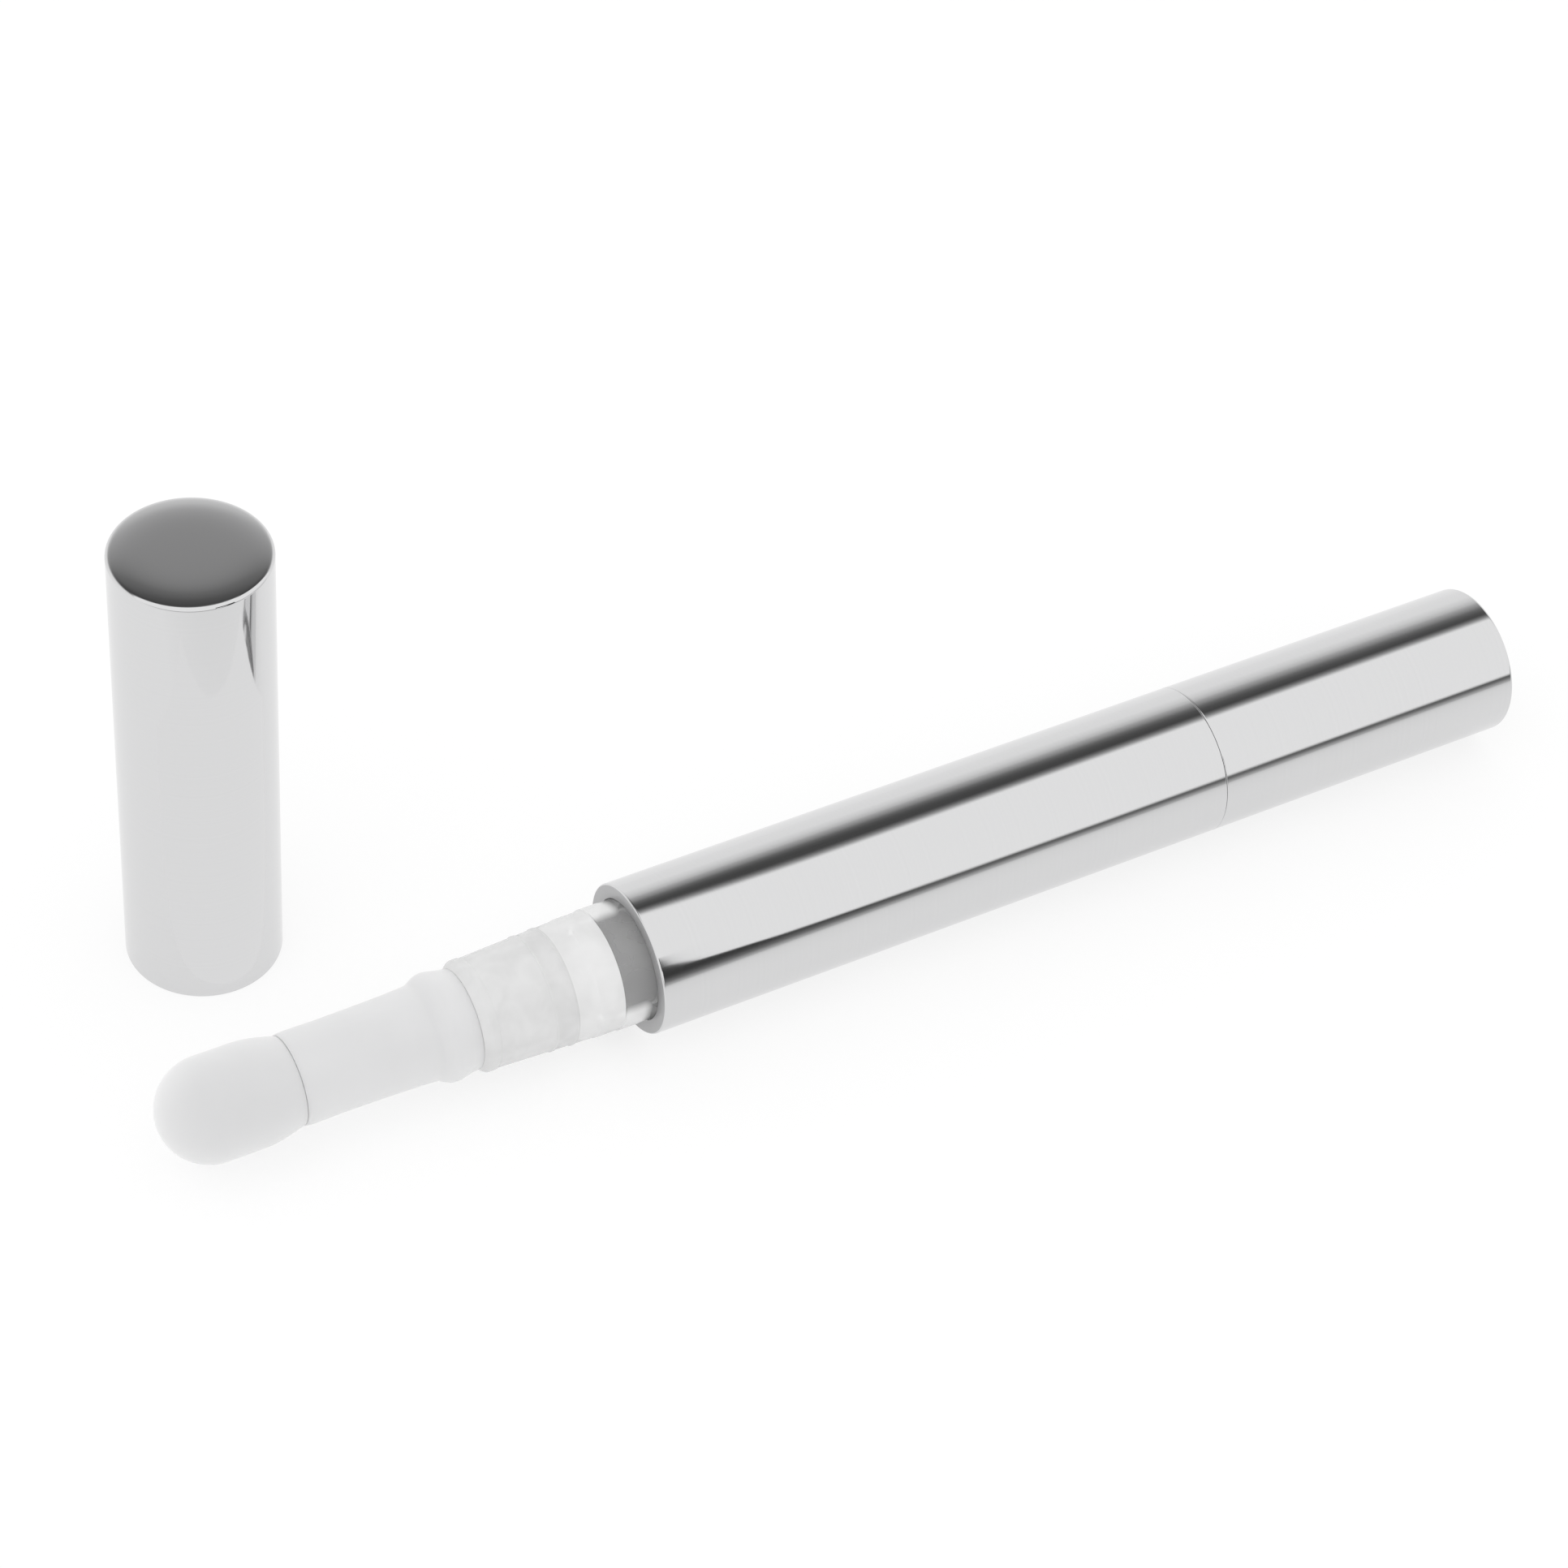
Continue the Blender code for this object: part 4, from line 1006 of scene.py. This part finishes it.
# %% [markdown]
# ## The room that the metal reflects
# Mirror metal is drawn by its surroundings. The photograph's pen shows a wide light area from an
# overhead diffuser, and a dark band behind it, which brightens again down the backdrop to the table.
# Softboxes could be placed as lamps, but the diffuser's edge follows one angle only, the one round
# the pen's axis, and the backdrop follows only the height above the horizon.
# So the world gives glossy rays two ramps and takes the brighter. Other rays meet plain even white.
# The diffuser's edge bends back a few degrees at its left end, which shows near the pen's mouth.

# %% World with a studio for glossy rays
DIFFUSER = (
    (-180.0, 0.0), (-100.0, 0.0), (-98.0, 1.0), (8.4, 1.0), (10.4, 0.84), (12.4, 0.56), (14.4, 0.37),
    (16.4, 0.24), (18.5, 0.15), (20.7, 0.09), (24.0, 0.04), (28.0, 0.0), (180.0, 0.0),
)
BACKDROP = (
    (0.0, 0.93), (0.33, 0.92), (0.4755, 0.79), (0.568, 0.62), (0.615, 0.45), (0.671, 0.31),
    (0.7175, 0.17), (0.766, 0.1), (0.8075, 0.075), (0.87, 0.07), (1.0, 0.07),
)
EDGE_BEND = ((0.3, 8.0), (0.348, 7.4), (0.354, 5.0), (0.364, 3.0), (0.378, 0.6), (0.39, 0.0), (0.5, 0.0))
EVEN_LIGHT = 0.96

world = bpy.data.worlds.new("studio")
bpy.context.scene.world = world
tree = emptied(world)
output = add(tree, "ShaderNodeOutputWorld")
background = add(tree, "ShaderNodeBackground")
source = add(tree, "ShaderNodeTexCoord")
split = add(tree, "ShaderNodeSeparateXYZ")
round_axis = add(tree, "ShaderNodeMath", operation="ARCTAN2")
join(tree, [
    (source.outputs["Generated"], split.inputs[0]),
    (split.outputs["Y"], round_axis.inputs[0]),
    (split.outputs["Z"], round_axis.inputs[1]),
])
bend = ramp(tree, split.outputs["X"], [(x, math.radians(angle)) for x, angle in EDGE_BEND])
bent = add(tree, "ShaderNodeMath", operation="SUBTRACT")
join(tree, [(round_axis.outputs[0], bent.inputs[0]), (bend, bent.inputs[1])])
diffuser = ramp(tree, bent.outputs[0], [(math.radians(angle), tone) for angle, tone in DIFFUSER])
backdrop = ramp(tree, split.outputs["Z"], BACKDROP)
room = add(tree, "ShaderNodeMath", operation="MAXIMUM")
path = add(tree, "ShaderNodeLightPath")
lighting = add(tree, "ShaderNodeMix", data_type="RGBA", A=grey(1.0), B=grey(EVEN_LIGHT))
glossy = add(tree, "ShaderNodeMix", data_type="RGBA")
join(tree, [
    (diffuser, room.inputs[0]),
    (backdrop, room.inputs[1]),
    (path.outputs["Is Diffuse Ray"], lighting.inputs["Factor"]),
    (path.outputs["Is Glossy Ray"], glossy.inputs["Factor"]),
    (lighting.outputs["Result"], glossy.inputs["A"]),
    (room.outputs[0], glossy.inputs["B"]),
    (glossy.outputs["Result"], background.inputs["Color"]),
    (background.outputs[0], output.inputs["Surface"]),
])
print("room ramps have", len(DIFFUSER), "and", len(BACKDROP), "stops")

# %% [markdown]
# ## The dark edge in front
# The thin dark line comes from the gap between the table and the front diffuser, and it widens in a
# rounded corner near the pen's mouth, where that diffuser ends. A graded card stands there instead:
# pale at its foot, darkest in the middle, and white again above a soft edge whose height follows X.
# Its white part also has a slanted left side, which shows as the rounded end of the pen's light band.
# It is out of the camera's sight and throws no shadow; only reflections show it.

# %% The card
CARD_LEFT = -40.0
CARD_RIGHT = 300.0
CARD_HIGH = 100.0
CARD_WIDE = CARD_RIGHT - CARD_LEFT

card_form = bmesh.new()
bmesh.ops.create_grid(card_form, x_segments=1, y_segments=1, size=0.5)
bmesh.ops.scale(card_form, vec=(CARD_WIDE * MM, CARD_HIGH * MM, 1.0), verts=card_form.verts)
bmesh.ops.rotate(card_form, matrix=Matrix.Rotation(math.pi / 2, 3, "X"), verts=card_form.verts)
card_middle = Vector(((CARD_LEFT + CARD_RIGHT) / 2, FRONT_EDGE, CARD_HIGH / 2)) * MM
bmesh.ops.translate(card_form, vec=card_middle, verts=card_form.verts)
card = stage_piece("graded card", card_form)
reflected_only(card)
print("card stands", round(-FRONT_EDGE), "mm in front")

# %% [markdown]
# The card's tones are ramps over its height and width. The white part's top edge has a height and a
# softness for each X. Its left side has for each height an X where it is still dark and one where it
# is white. A ramp only holds values from 0 to 1, so these are shares of the card's height and width.

# %% Tones on the card
CARD_FOOT = (
    (0.0, 0.5), (3.0, 0.43), (11.0, 0.19), (15.0, 0.15), (20.0, 0.09), (28.0, 0.05), (CARD_HIGH, 0.045),
)
CARD_TOP = (
    (CARD_LEFT, 0.0), (-10.0, 30.0), (10.0, 70.0), (23.2, 68.0), (24.0, 58.0), (24.6, 44.0),
    (27.8, 38.5), (30.2, 36.0), (34.8, 29.5), (42.0, 26.0), (60.0, 21.5), (79.0, 19.5),
    (110.0, 20.5), (CARD_RIGHT, 20.5),
)
CARD_SOFT = ((CARD_LEFT, 3.5), (26.5, 3.0), (58.0, 6.5), (CARD_RIGHT, 6.5))
SIDE_DARK = (
    (0.0, CARD_LEFT), (48.0, CARD_LEFT), (53.0, 21.9), (62.6, 23.3), (72.8, 24.9), (89.8, 27.7),
    (CARD_HIGH, 29.5),
)
SIDE_WHITE = (
    (0.0, -38.0), (48.0, -38.0), (53.0, 25.2), (62.6, 24.9), (72.8, 25.9), (89.8, 28.4),
    (CARD_HIGH, 30.1),
)

card_material = bpy.data.materials.new("graded card")
card.data.materials.append(card_material)
tree = emptied(card_material)
output = add(tree, "ShaderNodeOutputMaterial")
source = add(tree, "ShaderNodeTexCoord")
split = add(tree, "ShaderNodeSeparateXYZ")
tree.links.new(source.outputs["Object"], split.inputs[0])


def card_ramp(source, stops, start=0.0, whole=1.0):
    """A ramp over a coordinate, of values that are shares of a whole from its start."""
    return ramp(tree, source, [(place * MM, (value - start) / whole) for place, value in stops])


foot_tone = card_ramp(split.outputs["Z"], CARD_FOOT)
top_height = card_ramp(split.outputs["X"], CARD_TOP, whole=CARD_HIGH)
softness = card_ramp(split.outputs["X"], CARD_SOFT, whole=CARD_HIGH)
side_dark = card_ramp(split.outputs["Z"], SIDE_DARK, CARD_LEFT, CARD_WIDE)
side_white = card_ramp(split.outputs["Z"], SIDE_WHITE, CARD_LEFT, CARD_WIDE)
print("card ramps have", len(CARD_FOOT) + len(CARD_TOP) + len(CARD_SOFT) + 2 * len(SIDE_DARK), "stops")

# %% [markdown]
# Two smooth steps compare the place on the card with those ramps, one in height and one in width.
# Where both are past their edge the card is white, and elsewhere it keeps the tone of its foot.

# %% White part of the card
height = add(tree, "ShaderNodeMath", operation="MULTIPLY")
height.inputs[1].default_value = 1.0 / (CARD_HIGH * MM)
lower = add(tree, "ShaderNodeMath", operation="SUBTRACT")
upper = add(tree, "ShaderNodeMath", operation="ADD")
edge = add(tree, "ShaderNodeMapRange", interpolation_type="SMOOTHSTEP")
across = add(tree, "ShaderNodeMapRange", From_Min=CARD_LEFT * MM, From_Max=CARD_RIGHT * MM)
side = add(tree, "ShaderNodeMapRange", interpolation_type="SMOOTHSTEP")
lit = add(tree, "ShaderNodeMath", operation="MULTIPLY")
brighter = add(tree, "ShaderNodeMath", operation="MAXIMUM")
glow = add(tree, "ShaderNodeEmission")
join(tree, [
    (split.outputs["Z"], height.inputs[0]),
    (top_height, lower.inputs[0]),
    (softness, lower.inputs[1]),
    (top_height, upper.inputs[0]),
    (softness, upper.inputs[1]),
    (height.outputs[0], edge.inputs["Value"]),
    (lower.outputs[0], edge.inputs["From Min"]),
    (upper.outputs[0], edge.inputs["From Max"]),
    (split.outputs["X"], across.inputs["Value"]),
    (across.outputs["Result"], side.inputs["Value"]),
    (side_dark, side.inputs["From Min"]),
    (side_white, side.inputs["From Max"]),
    (edge.outputs["Result"], lit.inputs[0]),
    (side.outputs["Result"], lit.inputs[1]),
    (foot_tone, brighter.inputs[0]),
    (lit.outputs[0], brighter.inputs[1]),
    (brighter.outputs[0], glow.inputs["Color"]),
    (glow.outputs[0], output.inputs["Surface"]),
])
print("card's tree has", len(tree.nodes), "nodes")

# %% [markdown]
# ## What the cap mirrors
# The cap's wall mirrors the floor, and would mirror the pale pieces of the pen on it as grey shapes.
# The photograph's cap shows only a short streak, of the barrel. In a studio a small white flag, laid
# over the neck and folded down in front of the cap, out of the camera's sight, gives that. The
# pieces could be hidden from glossy rays instead, but then the cap would show the barrel's open
# mouth. The flag is one face, and its rear edge is extruded down to just above the table.

# %% White flag over the neck
FLAG_TONE = 0.945
FLAG_HEIGHT = 15.5
FLAG_FOOT = 0.3
FLAG_FOLD = 4.2
FLAG_TOP = ((-76.0, -17.0), (-28.4, -17.0), (-30.6, FLAG_FOLD), (-76.0, FLAG_FOLD))

flag_form = bmesh.new()
corners = [flag_form.verts.new((x * MM, y * MM, FLAG_HEIGHT * MM)) for x, y in FLAG_TOP]
flag_form.faces.new(corners)
fold = flag_form.edges.get(corners[2:])
folded = bmesh.ops.extrude_edge_only(flag_form, edges=[fold])["geom"]
foot = [part for part in folded if isinstance(part, bmesh.types.BMVert)]
bmesh.ops.translate(flag_form, vec=(0.0, 0.0, (FLAG_FOOT - FLAG_HEIGHT) * MM), verts=foot)
flag = stage_piece("white flag", flag_form)
reflected_only(flag)

flag_material = bpy.data.materials.new("white flag")
flag.data.materials.append(flag_material)
tree = emptied(flag_material)
output = add(tree, "ShaderNodeOutputMaterial")
glow = add(tree, "ShaderNodeEmission", Color=grey(FLAG_TONE))
tree.links.new(glow.outputs[0], output.inputs["Surface"])
print("flag lies", FLAG_HEIGHT, "mm above the table")

# %% [markdown]
# ## One soft lamp
# Even light from all around leaves pale plastic flat. A large, weak softbox from the upper left
# gives the tip and the stem a little form and the shadow a direction.

# %% Softbox
LAMP_SIZE = 0.45
LAMP_POWER = 0.35
LAMP_PLACE = (-0.32, -0.16, 0.5)

lamp_data = bpy.data.lights.new("softbox", "AREA")
lamp_data.shape = "SQUARE"
lamp_data.size = LAMP_SIZE
lamp_data.energy = LAMP_POWER
lamp = bpy.data.objects.new("softbox", lamp_data)
bpy.context.scene.collection.objects.link(lamp)
lamp.location = LAMP_PLACE
lamp.rotation_euler = (-lamp.location).to_track_quat("-Z", "Y").to_euler()
lamp.visible_glossy = False
lamp.visible_camera = False
print("softbox is", LAMP_SIZE, "m wide")

# %% [markdown]
# ## Finish
# The render keeps the plain Standard view, so colours come out as they are written.

# %% View
bpy.context.scene.view_settings.view_transform = "Standard"
